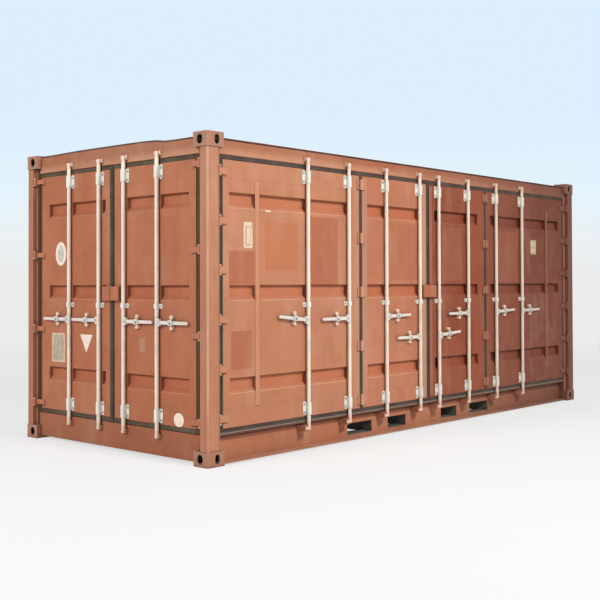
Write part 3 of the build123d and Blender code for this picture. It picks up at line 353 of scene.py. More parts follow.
def plywood(name):
    """Oiled plywood boards, scuffed by loads."""
    g = material(name)
    grain = g.noise(1.0, 8.0, 0.6, stretch=(2.2, 55.0, 55.0), warp=0.4)
    color = g.mix(g.ramp(grain, 0.3, 0.7), (0.22, 0.11, 0.05), (0.36, 0.21, 0.11))
    fine = g.noise(1.0, 5.0, 0.6, stretch=(9.0, 260.0, 260.0))
    color = g.mix(g.ramp(fine, 0.45, 0.7, 0.0, 0.35), color, (0.12, 0.06, 0.03))
    scuffs = g.ramp(g.noise(3.2, 9.0, 0.72, warp=1.2), 0.58, 0.7, 0.0, 0.5)
    color = g.mix(scuffs, color, (0.1, 0.075, 0.055))
    plies = g.noise(1.0, 1.0, 0.5, stretch=(1.0, 1.0, 560.0))
    color = g.mix(g.ramp(plies, 0.4, 0.6, 0.0, 0.2), color, (0.42, 0.27, 0.15))
    # Painted shade: ambient occlusion darkens the corners and gaps.
    color = g.mix(g.ramp(g.crevice(0.05), 0.3, 0.9, 0.0, 0.6), color, (0.05, 0.03, 0.02))
    normal = g.bump(fine, 0.25, 0.001)
    return g.finish(color, g.ramp(scuffs, 0.0, 0.5, 0.55, 0.78), normal, specular=0.35)


def coating(name, tone, worn):
    """A plain plate or label, scuffed, chipped and stained."""
    g = material(name)
    color = g.mix(g.ramp(g.noise(26.0, 6.0, 0.65), 0.4, 0.68), tone, worn)
    stain = g.ramp(g.noise(1.0, 5.0, 0.6, stretch=(30.0, 30.0, 6.0)), 0.48, 0.75, 0.0, 0.35)
    color = g.mix(stain, color, shade(worn, 0.5))
    flakes = g.ramp(g.noise(75.0, 6.0, 0.7), 0.62, 0.68, 0.0, 0.7)
    color = g.mix(flakes, color, (0.3, 0.13, 0.08))
    color = g.mix(g.both(g.edges(0.002), 0.3), color, shade(worn, 0.6))
    normal = g.bump(flakes, 0.1, 0.0004)
    return g.finish(color, g.ramp(stain, 0.0, 0.4, 0.55, 0.75), normal, specular=0.4)


# Marks that belong to single nodes. Each takes a graph, the colour so far and the paint's tone.
def weathered_and_shaded(g, color, tone):
    """Darker and browner towards the blind end: painted shade for the light falling off along the
    container, together with weathering.
    """
    return g.mix(g.ramp(g.axes()[0], -0.8, 3.1, 0.0, 0.84), color, (0.16, 0.055, 0.036))


def casting_extras(g, color, tone):
    """Painted shade inside the hollows, worn grey edges, and darker towards the blind end as
    painted shade of the light falling off.
    """
    # Painted shade: near-black inside the hollows.
    deep_x = g.band(g.inward(0, HALF_X), 0.0135, 0.17, 0.001)
    deep_y = g.band(g.inward(1, HALF_Y), 0.0135, 0.155, 0.001)
    color = g.mix(g.both(deep_x, deep_y), color, HOLLOW_SHADE)
    wear_and_highlight = g.both(g.edges(0.012), g.ramp(g.noise(11.0, 5.0, 0.6), 0.3, 0.6, 0.3, 0.75))
    color = g.mix(wear_and_highlight, color, (0.3, 0.24, 0.19))
    # Painted shade: darker towards the blind end, where the light falls off.
    return g.mix(g.ramp(g.axes()[0], 0.0, 3.0, 0.0, 0.75), color, (0.14, 0.055, 0.04))


def header_extras(g, color, tone):
    """Paler towards its lower edge: a painted highlight, broken up with dust."""
    # Painted highlight with dust: paler towards the lower edge.
    dust_and_highlight = g.ramp(g.noise(2.2, 5.0), 0.3, 0.6, 0.4, 1.0)
    low = g.both(g.ramp(g.axes()[2], 2.43, 2.515, 0.5, 0.0), dust_and_highlight)
    color = g.mix(low, color, (0.62, 0.35, 0.22))
    return weathered_and_shaded(g, color, tone)


def post_extras(g, color, tone):
    """A worn corner with a painted highlight, stripes up the faces, painted shade on the faces
    towards the door end and on the far post there, painted shade and painted light on the jambs and
    inner edges, and darker towards the blind end as painted shade.
    """
    from_end = g.inward(0, HALF_X)
    from_side = g.inward(1, HALF_Y)
    stripes = g.noise(1.0, 5.0, 0.65, stretch=(15.0, 15.0, 1.1), warp=0.5)
    color = g.mix(g.ramp(stripes, 0.45, 0.72, 0.0, 0.35), color, (0.56, 0.3, 0.19))
    color = g.mix(g.ramp(stripes, 0.28, 0.46, 0.3, 0.0), color, shade(tone, 0.72))
    # Painted shade: the faces towards the door end are darker.
    color = g.mix(g.both(g.facing(0, -0.4, -0.9), 0.22), color, (0.34, 0.12, 0.07))
    # Painted highlight on the worn corner: a pale upright line, broken up by noise.
    corner = [g.ramp(depth, 0.016, 0.024, 1.0, 0.0) for depth in (from_end, from_side)]
    wear_and_highlight = g.noise(1.0, 4.0, 0.6, stretch=(3.0, 3.0, 2.2))
    wear_and_highlight = g.ramp(wear_and_highlight, 0.3, 0.65, 0.1, 0.42)
    color = g.mix(g.both(*corner, wear_and_highlight), color, (0.7, 0.44, 0.32))
    # Painted shade: the far post at the door end is darker.
    color = g.mix(g.ramp(g.axes()[1], -0.5, 0.5, 0.0, 0.35), color, shade(tone, 0.6))
    # Painted shade: a dark band beside the seal on the jambs, which widens the dark gap.
    jamb = g.both(g.band(from_side, 0.109, 0.14, 0.001), g.band(from_end, *JAMB_DEPTHS, 0.001))
    color = g.mix(jamb, color, (0.07, 0.045, 0.028))
    # Painted light: the far jambs at the door end are lightened where they lie in shade.
    end_jamb = g.both(g.band(from_end, 0.02, 0.06, 0.002), g.band(g.axes()[1], 1.112, 1.2, 0.002))
    color = g.mix(g.both(end_jamb, 0.8), color, (0.5, 0.19, 0.105))
    # Painted shade: a dark line at the inner edge of the posts, where they meet the jambs.
    inner = g.both(g.band(from_end, 0.12, 0.1285, 0.002), g.band(from_side, 0.0, 0.01, 0.001))
    color = g.mix(g.both(inner, 0.6), color, (0.2, 0.12, 0.07))
    color = weathered_and_shaded(g, color, tone)
    # Painted shade: still darker close to the blind end.
    color = g.mix(g.ramp(g.axes()[0], 2.0, 2.9, 0.0, 0.2), color, (0.07, 0.022, 0.013))
    # Painted light: the jambs by the blind end are lightened where they lie in shade.
    blind_jamb = g.band(g.axes()[0], 2.855, 2.899, 0.001)
    blind_jamb = g.both(blind_jamb, g.band(from_side, *JAMB_DEPTHS, 0.001), 0.7)
    return g.mix(blind_jamb, color, (0.4, 0.16, 0.11))


def sill_extras(g, color, tone):
    """A painted shadow band under the seal, where the flange shades the web."""
    # Painted shadow: a dark band under the seal, on the flange and the web below it.
    flange_shadow = g.band(g.axes()[2], 0.197, 0.231, 0.003)
    color = g.mix(g.both(flange_shadow, 0.8), color, (0.1, 0.03, 0.018))
    return weathered_and_shaded(g, color, tone)


def recess_extras(axis, outer, share=0.6):
    """Redder floors in the pressed recesses, and a painted highlight line on the upward slope where
    each runs out.
    """

    def extras(g, color, tone):
        depth = g.inward(axis, outer)
        seen = g.facing(axis, -0.05, -0.5)
        floor = g.both(g.ramp(depth, *RECESS_DEPTHS), seen)
        color = g.mix(g.both(floor, share), color, tinted(tone, 1.1, 0.82, 0.68))
        # Painted highlight: a pale line on the upward slope at the foot of each recess, broken up
        # by noise.
        foot = g.both(g.band(depth, 0.0462, 0.0525, 0.0012), seen, g.facing(2, 0.1, 0.3))
        scuffed = g.ramp(g.noise(3.0, 4.0), 0.3, 0.55, 0.2, 0.6)
        return g.mix(g.both(foot, scuffed), color, tinted(tone, 1.4, 1.95, 2.3))

    return extras


near_recesses = recess_extras(1, HALF_Y)
dark_recesses = recess_extras(1, HALF_Y, 0.25)
end_recesses = recess_extras(0, HALF_X, 0.3)


def leaf_4_extras(g, color, tone):
    """Lighter towards the fold, painted light that follows the light falling off along the side,
    and the recesses as on leaf 3.
    """
    # Painted light: lighter towards the fold.
    color = g.mix(g.ramp(g.axes()[0], 2.5, 1.1, 0.0, 0.5), color, (0.29, 0.09, 0.05))
    return dark_recesses(g, color, tone)


def fold_extras(g, color, tone):
    """Painted highlights on the barrels of the fold hinges, a painted shadow slot beside the nearer
    ones, and painted shade on the far ones and at their feet.
    """
    along = g.axes()[0]
    color = g.mix(g.ramp(along, -2.2, -2.6, 0.0, 0.5), color, (0.47, 0.2, 0.105))
    from_fold = g.math("SUBTRACT", g.math("ABSOLUTE", along), FOLD)
    # Painted highlight: pale barrels on the fold hinges.
    barrel = g.band(from_fold, -0.0115, 0.0115, 0.001)
    color = g.mix(g.both(barrel, 0.6), color, (0.64, 0.42, 0.28))
    # Painted shade: a dark slot beside the barrels of the nearer hinges.
    slot = g.band(along, -FOLD - 0.034, -FOLD - 0.0125, 0.0015)
    color = g.mix(g.both(slot, 0.85), color, (0.11, 0.042, 0.02))
    # Painted shade: darker on the far hinges.
    color = g.mix(g.ramp(along, 0.0, 1.0, 0.0, 0.5), color, (0.3, 0.1, 0.06))
    # Painted shadow: a dark band at the foot of each far hinge.
    over_foot = g.math("SUBTRACT", g.axes()[2], FOLD_HINGE_FOOT)
    over_foot = g.math("MODULO", over_foot, FOLD_HINGE_PITCH)
    foot = g.both(g.band(over_foot, -0.01, 0.014, 0.003), g.band(along, 0.8, 1.4, 0.01))
    color = g.mix(g.both(foot, 0.75), color, (0.1, 0.03, 0.02))
    return weathered_and_shaded(g, color, tone)


# Patches: the axis that they lie along, two places on it, two heights, colour and share
DEEP = (0.375, 0.118, 0.058)
ORANGE = (0.46, 0.155, 0.07)
TAN = (0.45, 0.31, 0.22)
SCRATCH = (0.85, 0.7, 0.6)
BETWEEN_SEAMS = (SEAM_Z[1], SEAM_Z[0])
FULL_HEIGHT = (0.3, 2.37)
LEAF_1_PATCHES = [
    (0, (-2.755, -2.466), (1.405, 1.675), DEEP, 0.85),
    (0, (-2.34, -1.94), (1.52, 1.92), ORANGE, 0.8),
    (0, (-1.78, -1.405), (1.39, 1.985), DEEP, 0.85),
    (0, (-2.733, -2.497), (0.73, 1.035), DEEP, 0.85),
    (0, (-2.46, -2.407), BETWEEN_SEAMS, (0.6, 0.27, 0.165), 0.45),
    (0, (-1.17, -1.09), FULL_HEIGHT, TAN, 0.25),
    (0, (-2.334, -2.274), (1.999, 2.015), SCRATCH, 0.9),
]
LEAF_2_PATCHES = [
    (0, (-0.62, -0.17), (1.44, 1.98), DEEP, 0.55),
    (0, (-0.14, -0.02), FULL_HEIGHT, TAN, 0.5),
    (0, (-1.06, -0.98), FULL_HEIGHT, TAN, 0.3),
]
# The patches on leaves 3 and 4 are darker copies: painted shade, as on their leaves.
LEAF_3_PATCHES = [
    (0, (0.26, 0.62), (1.44, 1.98), shade(DEEP, 0.8), 0.6),
    (0, (0.02, 0.075), FULL_HEIGHT, TAN, 0.25),
]
LEAF_4_PATCHES = [
    (0, (1.35, 1.76), (1.42, 1.97), shade(DEEP, 0.8), 0.6),
    (0, (2.42, 2.475), BETWEEN_SEAMS, (0.34, 0.17, 0.12), 0.4),
]
DOOR_PATCHES = [
    (1, (-0.422, -0.352), (0.848, 0.965), TAN, 0.4),
    (1, (-0.82, -0.3), (1.15, 1.95), shade(DEEP, 0.95), 0.35),
]

TONE = (0.455, 0.172, 0.093)
FADED = (0.545, 0.225, 0.128)
leaf_look = dict(lines=SEAM_Z, grime_and_shade=0.5, under=0.62, flank=0)
leaf_1_paint = paint(
    "paint_leaf_1", (0.45, 0.183, 0.098), (0.52, 0.24, 0.14), LEAF_1_PATCHES,
    extras=near_recesses, **leaf_look,
)
leaf_2_paint = paint(
    "paint_leaf_2", (0.44, 0.165, 0.087), (0.515, 0.21, 0.118), LEAF_2_PATCHES,
    extras=near_recesses, **leaf_look,
)
# Leaves 3 and 4 are darker copies of the same paint: painted shade of the light falling off along
# the side.
leaf_3_paint = paint(
    "paint_leaf_3", (0.244, 0.06, 0.027), (0.293, 0.079, 0.037), LEAF_3_PATCHES,
    extras=dark_recesses, **leaf_look,
)
leaf_4_paint = paint(
    "paint_leaf_4", (0.163, 0.044, 0.023), (0.203, 0.06, 0.032), LEAF_4_PATCHES,
    extras=leaf_4_extras, **leaf_look,
)
end_paint = paint(
    "paint_end", (0.39, 0.13, 0.064), (0.44, 0.162, 0.084), DOOR_PATCHES,
    lines=SEAM_Z, grime_and_shade=0.5, under=0.62, flank=1, walls=0.25, extras=end_recesses,
)
frame_paint = paint("paint_frame", TONE, FADED, wear=0.8, extras=weathered_and_shaded)
post_paint = paint(
    "paint_posts", (0.43, 0.175, 0.096), (0.49, 0.225, 0.135),
    grime_and_shade=0.4, wear=0.6, dust=0.4, extras=post_extras,
)
casting_paint = paint(
    "paint_castings", (0.36, 0.17, 0.105), (0.41, 0.21, 0.14),
    grime_and_shade=0.9, dust=0.4, extras=casting_extras,
)
header_paint = paint(
    "paint_header", (0.35, 0.12, 0.058), (0.4, 0.163, 0.096), extras=header_extras,
)
door_header_paint = paint(
    "paint_door_header", (0.34, 0.122, 0.062), (0.38, 0.163, 0.099), extras=header_extras,
)
sill_paint = paint(
    "paint_side_sill", (0.43, 0.162, 0.086), (0.5, 0.208, 0.115),
    grime_and_shade=0.4, wear=1.0, streaks=0.3, extras=sill_extras,
)
door_sill_paint = paint(
    "paint_door_sill", (0.315, 0.104, 0.052), (0.365, 0.132, 0.068),
    grime_and_shade=0.7, wear=1.0, streaks=0.3,
)
under_paint = paint(
    "paint_under", (0.075, 0.07, 0.058), (0.13, 0.12, 0.1), grime_and_shade=0.9, wear=0.8, dust=0.1,
)
plain_paint = paint("paint_plain_side", TONE, FADED, streaks=0.35, extras=weathered_and_shaded)
roof_paint = paint("paint_roof", (0.43, 0.17, 0.1), FADED, dust=0.55, extras=weathered_and_shaded)
bead_paint = paint("paint_beads", (0.15, 0.065, 0.038), (0.22, 0.09, 0.055), wear=0.8)
# Near-black for strips that stand for shadow lines, with dirt.
shadow_strip_paint = paint("paint_shadow_strips", (0.06, 0.026, 0.015), (0.1, 0.045, 0.026), wear=0.4)
fold_paint = paint(
    "paint_fold_hinges", (0.49, 0.205, 0.125), (0.56, 0.27, 0.18),
    grime_and_shade=0.6, wear=0.9, extras=fold_extras,
)
block_paint = paint(
    "paint_block", (0.4, 0.12, 0.056), (0.44, 0.15, 0.08), grime_and_shade=0.9, wear=1.0,
)
# The fork pockets' dark grey is their coat, darkened further as painted shade of their insides.
pocket_paint = paint(
    "paint_pockets", (0.07, 0.072, 0.062), (0.17, 0.165, 0.145), grime_and_shade=0.8, wear=0.5, dust=0.1,
)
hinge_paint = paint(
    "paint_hinges", (0.5, 0.225, 0.13), (0.58, 0.3, 0.19), grime_and_shade=0.6, wear=0.9, extras=weathered_and_shaded,
)
blade_paint = paint(
    "paint_blades", (0.42, 0.146, 0.074), (0.48, 0.18, 0.1), grime_and_shade=0.6, wear=0.8,
)

# Bands: their two heights, colour and share
GREY = (0.62, 0.61, 0.57)
PINK = (0.76, 0.52, 0.4)
BAR_BANDS = (
    (1.05, 1.15, GREY, 0.7),
    (0.84, 0.94, GREY, 0.4),
    (2.43, 2.6, PINK, 0.75),
    (0.1, 0.232, PINK, 0.75),
)
PLATE_BANDS = ((1.0, 1.18, PINK, 0.6), (0.8, 0.98, PINK, 0.6))
KEEPER_BANDS = ((2.4, 2.6, (0.84, 0.66, 0.54), 0.8),)
bar_gear = gear(
    "gear_bars", (0.9, 0.79, 0.68), (0.82, 0.7, 0.58), grime_and_shade=0.3, bands=BAR_BANDS, fade=0.45,
)
plate_gear = gear(
    "gear_plates", (0.82, 0.82, 0.76), (0.73, 0.71, 0.64), grime_and_shade=0.3, bands=PLATE_BANDS, fade=0.3,
)
keeper_gear = gear(
    "gear_keepers", (0.46, 0.2, 0.12), (0.38, 0.14, 0.075), rust=0.5, bands=KEEPER_BANDS, under=0.9,
)
lug_gear = gear("gear_lugs", (0.84, 0.62, 0.48), (0.72, 0.5, 0.36), grime_and_shade=0.3, under=0.7)
clasp_gear = gear(
    "gear_clasps", (0.56, 0.57, 0.55), (0.46, 0.45, 0.41), metallic=0.1, under=0.7,
)
# Near-black for the painted shade of the holes in the clasps.
hole_gear = gear("gear_holes", (0.03, 0.028, 0.025), (0.05, 0.04, 0.03), rust=0.2)
bolt_gear = gear("gear_bolts", (0.5, 0.48, 0.43), (0.4, 0.35, 0.28), rust=0.5, metallic=0.2)

side_rubber = rubber(
    "rubber_side", (0.052, 0.033, 0.026), (0.088, 0.06, 0.048), lower=(0.1, 0.078, 0.062),
)
end_rubber = rubber(
    "rubber_end", (0.066, 0.047, 0.028), (0.11, 0.08, 0.05), hinged=(0.085, 0.036, 0.016),
)
floor_wood = plywood("floor_plywood")
plate_coat = coating("coat_plate", (0.46, 0.4, 0.3), (0.37, 0.31, 0.22))
rim_coat = coating("coat_rim", (0.66, 0.52, 0.38), (0.52, 0.38, 0.26))
white_coat = coating("coat_white", (0.85, 0.74, 0.65), (0.8, 0.66, 0.56))
cream_coat = coating("coat_cream", (0.74, 0.58, 0.43), (0.64, 0.48, 0.34))
olive_coat = coating("coat_olive", (0.4, 0.33, 0.2), (0.5, 0.4, 0.26))
label_coat = coating("coat_label", (0.62, 0.5, 0.33), (0.5, 0.38, 0.22))
grey_coat = coating("coat_grey", (0.62, 0.6, 0.52), (0.45, 0.42, 0.36))

# Finishes by the start of a node's name, with the width that its edges are rounded by
FINISHES = {
    "corner_castings": (casting_paint, 0.003),
    "corner_posts": (post_paint, 0.002),
    "side_header": (header_paint, 0.002),
    "door_header": (door_header_paint, 0.002),
    "far_top_rail": (frame_paint, 0.002),
    "blind_header": (frame_paint, 0.002),
    "side_sill_rail": (sill_paint, 0.002),
    "far_bottom_rail": (frame_paint, 0.002),
    "door_sill": (door_sill_paint, 0.003),
    "blind_sill": (frame_paint, 0.003),
    "cross_members": (under_paint, 0),
    "fork_pockets": (pocket_paint, 0),
    "floor": (floor_wood, 0.002),
    "far_side_wall": (plain_paint, 0),
    "blind_end_wall": (plain_paint, 0),
    "roof_panel": (roof_paint, 0),
    "side_leaf_1": (leaf_1_paint, 0.003),
    "side_leaf_2": (leaf_2_paint, 0.003),
    "side_leaf_3": (leaf_3_paint, 0.003),
    "side_leaf_4": (leaf_4_paint, 0.003),
    "door_left_leaf": (end_paint, 0.003),
    "door_right_leaf": (end_paint, 0.003),
    "side_seals": (side_rubber, 0.003),
    "door_left_seal": (end_rubber, 0.003),
    "door_right_seal": (end_rubber, 0.003),
    "hinge_lugs": (hinge_paint, 0.0015),
    "door_left_blades": (blade_paint, 0.0015),
    "door_right_blades": (blade_paint, 0.0015),
    "side_hinges": (fold_paint, 0.0015),
    "side_bar_brackets": (plate_gear, 0.0012),
    "door_left_brackets": (plate_gear, 0.0012),
    "door_right_brackets": (plate_gear, 0.0012),
    "bar_keepers": (keeper_gear, 0.0015),
    "side_overlap_block": (block_paint, 0.004),
    "side_lock_bar": (bar_gear, 0.002),
    "end_lock_bar": (bar_gear, 0.002),
}
WELD_DISTANCE = 0.00005
SHARP_ANGLE = math.radians(32)
for name, node in nodes.items():
    finish, width = next(pair for start, pair in FINISHES.items() if name.startswith(start))
    node.data.materials.clear()
    node.data.materials.append(finish)
    if width:
        weld = node.modifiers.new("weld", "WELD")
        weld.merge_threshold = WELD_DISTANCE
        bevel = node.modifiers.new("bevel", "BEVEL")
        bevel.width = width
        bevel.segments = 2
        bevel.limit_method = "ANGLE"
        bevel.angle_limit = SHARP_ANGLE
        even = node.modifiers.new("even", "WEIGHTED_NORMAL")
        even.keep_sharp = False


# Forms on the two seen faces
def side(u, z, depth):
    """A place on the folding side: along it, up it and in from its outer plane."""
    return Vector((u, -HALF_Y + depth, z))


def end(u, z, depth):
    """A place on the door end: rightwards from outside, up it and in from its outer plane."""
    return Vector((-HALF_X + depth, -u, z))


def box(low, high, foot, head):
    """The outline of a rectangle between two places and two heights."""
    return [(low, foot), (high, foot), (high, head), (low, head)]


def rounded(u, z, width, height, radius, steps=4):
    """The outline of a rectangle with round corners."""
    points = []
    for corner, (sx, sz) in enumerate([(1, 1), (-1, 1), (-1, -1), (1, -1)]):
        for step in range(steps + 1):
            angle = math.pi / 2 * (corner + step / steps)
            x = sx * (width / 2 - radius) + radius * math.cos(angle)
            y = sz * (height / 2 - radius) + radius * math.sin(angle)
            points.append((u + x, z + y))
    return points


def oval(u, z, width, height, steps=40):
    """The outline of an ellipse."""
    turns = [2 * math.pi * step / steps for step in range(steps)]
    return [(u + width / 2 * math.cos(t), z + height / 2 * math.sin(t)) for t in turns]


def shrunk(outline, by):
    """An outline drawn in towards its middle by about a width."""
    mid_u = sum(u for u, z in outline) / len(outline)
    mid_z = sum(z for u, z in outline) / len(outline)
    drawn = []
    for u, z in outline:
        reach = math.hypot(u - mid_u, z - mid_z)
        keep = (reach - by) / reach
        drawn.append((mid_u + (u - mid_u) * keep, mid_z + (z - mid_z) * keep))
    return drawn


def add_piece(name, mesh, body, finish):
    """Makes a gathered mesh into a piece that rides on a body."""
    bmesh.ops.recalc_face_normals(mesh, faces=mesh.faces)
    data = bpy.data.meshes.new(name)
    mesh.to_mesh(data)
    mesh.free()
    data.materials.append(finish)
    made = bpy.data.objects.new(name, data)
    bpy.context.scene.collection.objects.link(made)
    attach(made, body)


class Form:
    """Closed forms on one face, gathered into one piece."""

    def __init__(self, face):
        self.face = face
        self.mesh = bmesh.new()

    def loft(self, layers):
        """A closed form through equal outlines, each at its depth."""
        rings = []
        for outline, depth in layers:
            rings.append([self.mesh.verts.new(self.face(u, z, depth)) for u, z in outline])
        count = len(rings[0])
        for low, high in zip(rings, rings[1:]):
            for k in range(count):
                after = (k + 1) % count
                self.mesh.faces.new((low[k], low[after], high[after], high[k]))
        self.mesh.faces.new(rings[0])
        self.mesh.faces.new(rings[-1])

    def plate(self, outline, back, front, chamfer):
        """A plate with a chamfered front edge."""
        face = shrunk(outline, chamfer)
        self.loft([(outline, back), (outline, front + chamfer), (face, front)])

    def strip(self, outline, shoulder, front):
        """A long strip on a header, with its front edges just broken."""
        back = HEADER_FACE + SUNK
        self.loft([(outline, back), (outline, shoulder), (shrunk(outline, 0.0004), front)])

    def bolt(self, u, z, back, radius=0.009, height=0.005):
        """A washer, a chamfered hexagon and a short threaded end."""
        washer = oval(u, z, 3 * radius, 3 * radius, 14)
        self.plate(washer, back, back - height * 0.25, height * 0.1)
        head = oval(u, z, 2 * radius, 2 * radius, 6)
        self.plate(head, back - height * 0.2, back - height, height * 0.25)
        stud = oval(u, z, radius, radius, 10)
        self.plate(stud, back - height * 0.9, back - height * 1.35, height * 0.15)

    def rivet(self, u, z, back, radius, height):
        """A low domed head."""
        layers = []
        for share, rise in ((1.0, 0.0), (0.95, 0.45), (0.7, 0.8), (0.3, 1.0)):
            ring = oval(u, z, 2 * radius * share, 2 * radius * share, 12)
            layers.append((ring, back - height * rise))
        self.loft(layers)

    def finish(self, name, body, finish, slot):
        add_piece(name, self.mesh, body, finish)


# Lock bars: their places, the ways that their handles point, how far the handles rise over their
# length, and the heights of their hubs
RIGHT_BARS = (0.166, FOLD - 0.365, FOLD + 0.195, FOLD + 0.753)
SIDE_BARS = [-u for u in reversed(RIGHT_BARS)] + list(RIGHT_BARS)
SIDE_TOWARD = (-1, -1, 1, -1, 1, -1, 1, 1)
SIDE_RISES = (0.038, 0.0, 0.008, 0.0, 0.024, 0.0, 0.014, 0.008)
HIGH_HUB = 1.1
LOW_HUB = 0.89
SIDE_HUBS = [LOW_HUB if number in (3, 4) else HIGH_HUB for number in range(8)]
END_EDGE = 1.046
END_BARS = (-END_EDGE * 0.57, -END_EDGE * 0.1615, END_EDGE * 0.1615, END_EDGE * 0.57)
END_TOWARD = (-1, -1, 1, 1)
HANDLE_LENGTH = END_BARS[3] - END_BARS[2] - 0.052
CATCH = 0.175
BEARING_Z = (LEAF_HIGH - 0.07, LEAF_LOW + 0.07)
BEARING_FACE = 0.04
MIDDLE_Z = 1.23
CAP_Z = ((2.481, 2.4855), (0.1655, 0.17))

SIDE_HANDLES = list(zip(SIDE_BARS, SIDE_TOWARD, SIDE_RISES, SIDE_HUBS))
END_HANDLES = [(bar, toward, 0.0, HIGH_HUB) for bar, toward in zip(END_BARS, END_TOWARD)]
CARRIERS = (
    ("shell", side, SIDE_HANDLES, -1),
    ("left_door", end, END_HANDLES[:2], 1),
    ("right_door", end, END_HANDLES[2:], 1),
)
MOVERS = (("side_bar", side, SIDE_HANDLES), ("end_bar", end, END_HANDLES))


def catch_place(bar, toward, rise, hub):
    """Where the catch holds a handle."""
    return bar + toward * CATCH, hub + rise * CATCH / HANDLE_LENGTH


# Bolts of the bearings, at one side of the bar, above and below the bearing's middle
BOLT_BESIDE = 0.036
BOLT_RISE = 0.036
MIDDLE_BOLT_BESIDE = 0.037
for body, face, handles, beside in CARRIERS:
    form = Form(face)
    back = BEARING_FACE + SUNK
    for bar, *_ in handles:
        for z in BEARING_Z:
            for rise in (-BOLT_RISE, BOLT_RISE):
                form.bolt(bar + beside * BOLT_BESIDE, z + rise, back)
        middle = bar + beside * MIDDLE_BOLT_BESIDE
        form.bolt(middle, MIDDLE_Z, back, radius=0.008, height=0.004)
    form.finish(f"{body}_bearing_bolts", body, bolt_gear, "gear")

# Clasps that turn with the handles: cover, a black disc of painted shade for the hole, and rivets.
# A size is a width, a height and the radius of the corners. A layer is the depths of its back and
# its front, and its chamfer.
COVER_SIZE = (0.062, 0.048, 0.013)
COVER_LAYER = (0.0115, 0.0068, 0.0016)
RAISED_SIZE = (0.03, 0.03, 0.009)
RAISED_LAYER = (0.007, 0.0052, 0.0008)
BOSS_WIDTH = 0.034
BOSS_LAYER = (0.0125, 0.0095, 0.001)
HOLE_WIDTH = 0.015
HOLE_LAYER = (0.0053, 0.0046, 0.0003)
PIVOT_BESIDE = 0.03
PIVOT_SHARE = 0.4
RIVET_BESIDE = 0.021
RIVET_RISE = 0.013
for start, face, handles in MOVERS:
    for number, (bar, toward, rise, hub) in enumerate(handles):
        body = f"{start}_{number + 1}"
        u, z = catch_place(bar, toward, rise, hub)
        pivot = (bar + toward * PIVOT_BESIDE, z - rise * PIVOT_SHARE)
        form = Form(face)
        form.plate(rounded(u, z, *COVER_SIZE), *COVER_LAYER)
        form.plate(rounded(u, z - 0.004, *RAISED_SIZE), *RAISED_LAYER)
        form.plate(oval(*pivot, BOSS_WIDTH, BOSS_WIDTH, 24), *BOSS_LAYER)
        form.finish(f"{body}_clasp_cover", body, clasp_gear, "gear")
        # Painted shade: a black disc on the cover stands for the hole.
        form = Form(face)
        form.plate(oval(u, z - 0.006, HOLE_WIDTH, HOLE_WIDTH, 18), *HOLE_LAYER)
        form.finish(f"{body}_clasp_hole", body, hole_gear, "gear")
        form = Form(face)
        for du in (-RIVET_BESIDE, RIVET_BESIDE):
            form.rivet(u + du, z + RIVET_RISE, 0.0069, radius=0.0045, height=0.0025)
        form.rivet(*pivot, 0.0096, radius=0.007, height=0.0035)
        form.finish(f"{body}_clasp_rivets", body, bolt_gear, "gear")

# Lugs of the catches, above and below each clasp
LUG_SIZE = (0.037, 0.033, 0.009)
LUG_LAYER = (LEAF_FACE + SUNK, 0.0175, 0.004)
LUG_RISE = 0.0435
for body, face, handles, _ in CARRIERS:
    form = Form(face)
    for handle in handles:
        u, z = catch_place(*handle)
        for rise in (-LUG_RISE, LUG_RISE):
            form.plate(rounded(u, z + rise, *LUG_SIZE), *LUG_LAYER)
    form.finish(f"{body}_catch_lugs", body, lug_gear, "gear")

# Caps at the ends of the lock bars
CAP_REACH = 0.012
CAP_LAYER = (0.036, 0.012, 0.0015)
for start, face, handles in MOVERS:
    for number, (bar, *_) in enumerate(handles):
        body = f"{start}_{number + 1}"
        form = Form(face)
        for foot, head in CAP_Z:
            form.plate(box(bar - CAP_REACH, bar + CAP_REACH, foot, head), *CAP_LAYER)
        form.finish(f"{body}_end_caps", body, bar_gear, "gear")

# Dark strip along the tops of both headers: painted shadow of the roof's edge, with dirt. Over the
# doors it follows the bent crest.
crest = {}
for vertex in nodes["door_header"].data.vertices:
    if vertex.co.z > HEADER_TOP and abs(vertex.co.x + HALF_X - HEADER_FACE) < 0.002:
        key = round(-vertex.co.y, 4)
        crest[key] = max(crest.get(key, 0.0), vertex.co.z)
above = sorted(crest.items())
below = [(u, z - 0.013) for u, z in reversed(above)]
broken = [(u, z - 0.0005) for u, z in above] + [(u, z + 0.0005) for u, z in below]
form = Form(end)
form.loft([(above + below, HEADER_FACE + SUNK), (broken, 0.046)])
form.finish("door_header_shadow_strip", "shell", shadow_strip_paint, "paint")
form = Form(side)
form.strip(box(-2.85, 2.85, HEADER_TOP - 0.0135, HEADER_TOP), 0.0462, 0.0455)
form.finish("side_header_shadow_strip", "shell", shadow_strip_paint, "paint")

# Drip beads along the bottoms of the headers
for face, name, reach in ((side, "side", 2.858), (end, "door", 1.08)):
    form = Form(face)
    form.strip(box(-reach, reach, HEADER_FOOT, HEADER_FOOT + 0.006), 0.0468, 0.046)
    form.finish(f"{name}_header_drip_bead", "shell", frame_paint, "paint")

# Weld beads round the corners of the castings, with the ripples of a hand weld
BEAD_RADIUS = 0.005
BEAD_STEP = 0.006
BEAD_SIDES = 6
BEAD_Z = (("lower", 0.1185), ("upper", 2.4725))
BEAD_INSIDE = 0.007
BEAD_CORNER = 0.012
BEAD_ALONG_SIDE = 0.12
BEAD_ALONG_END = 0.088


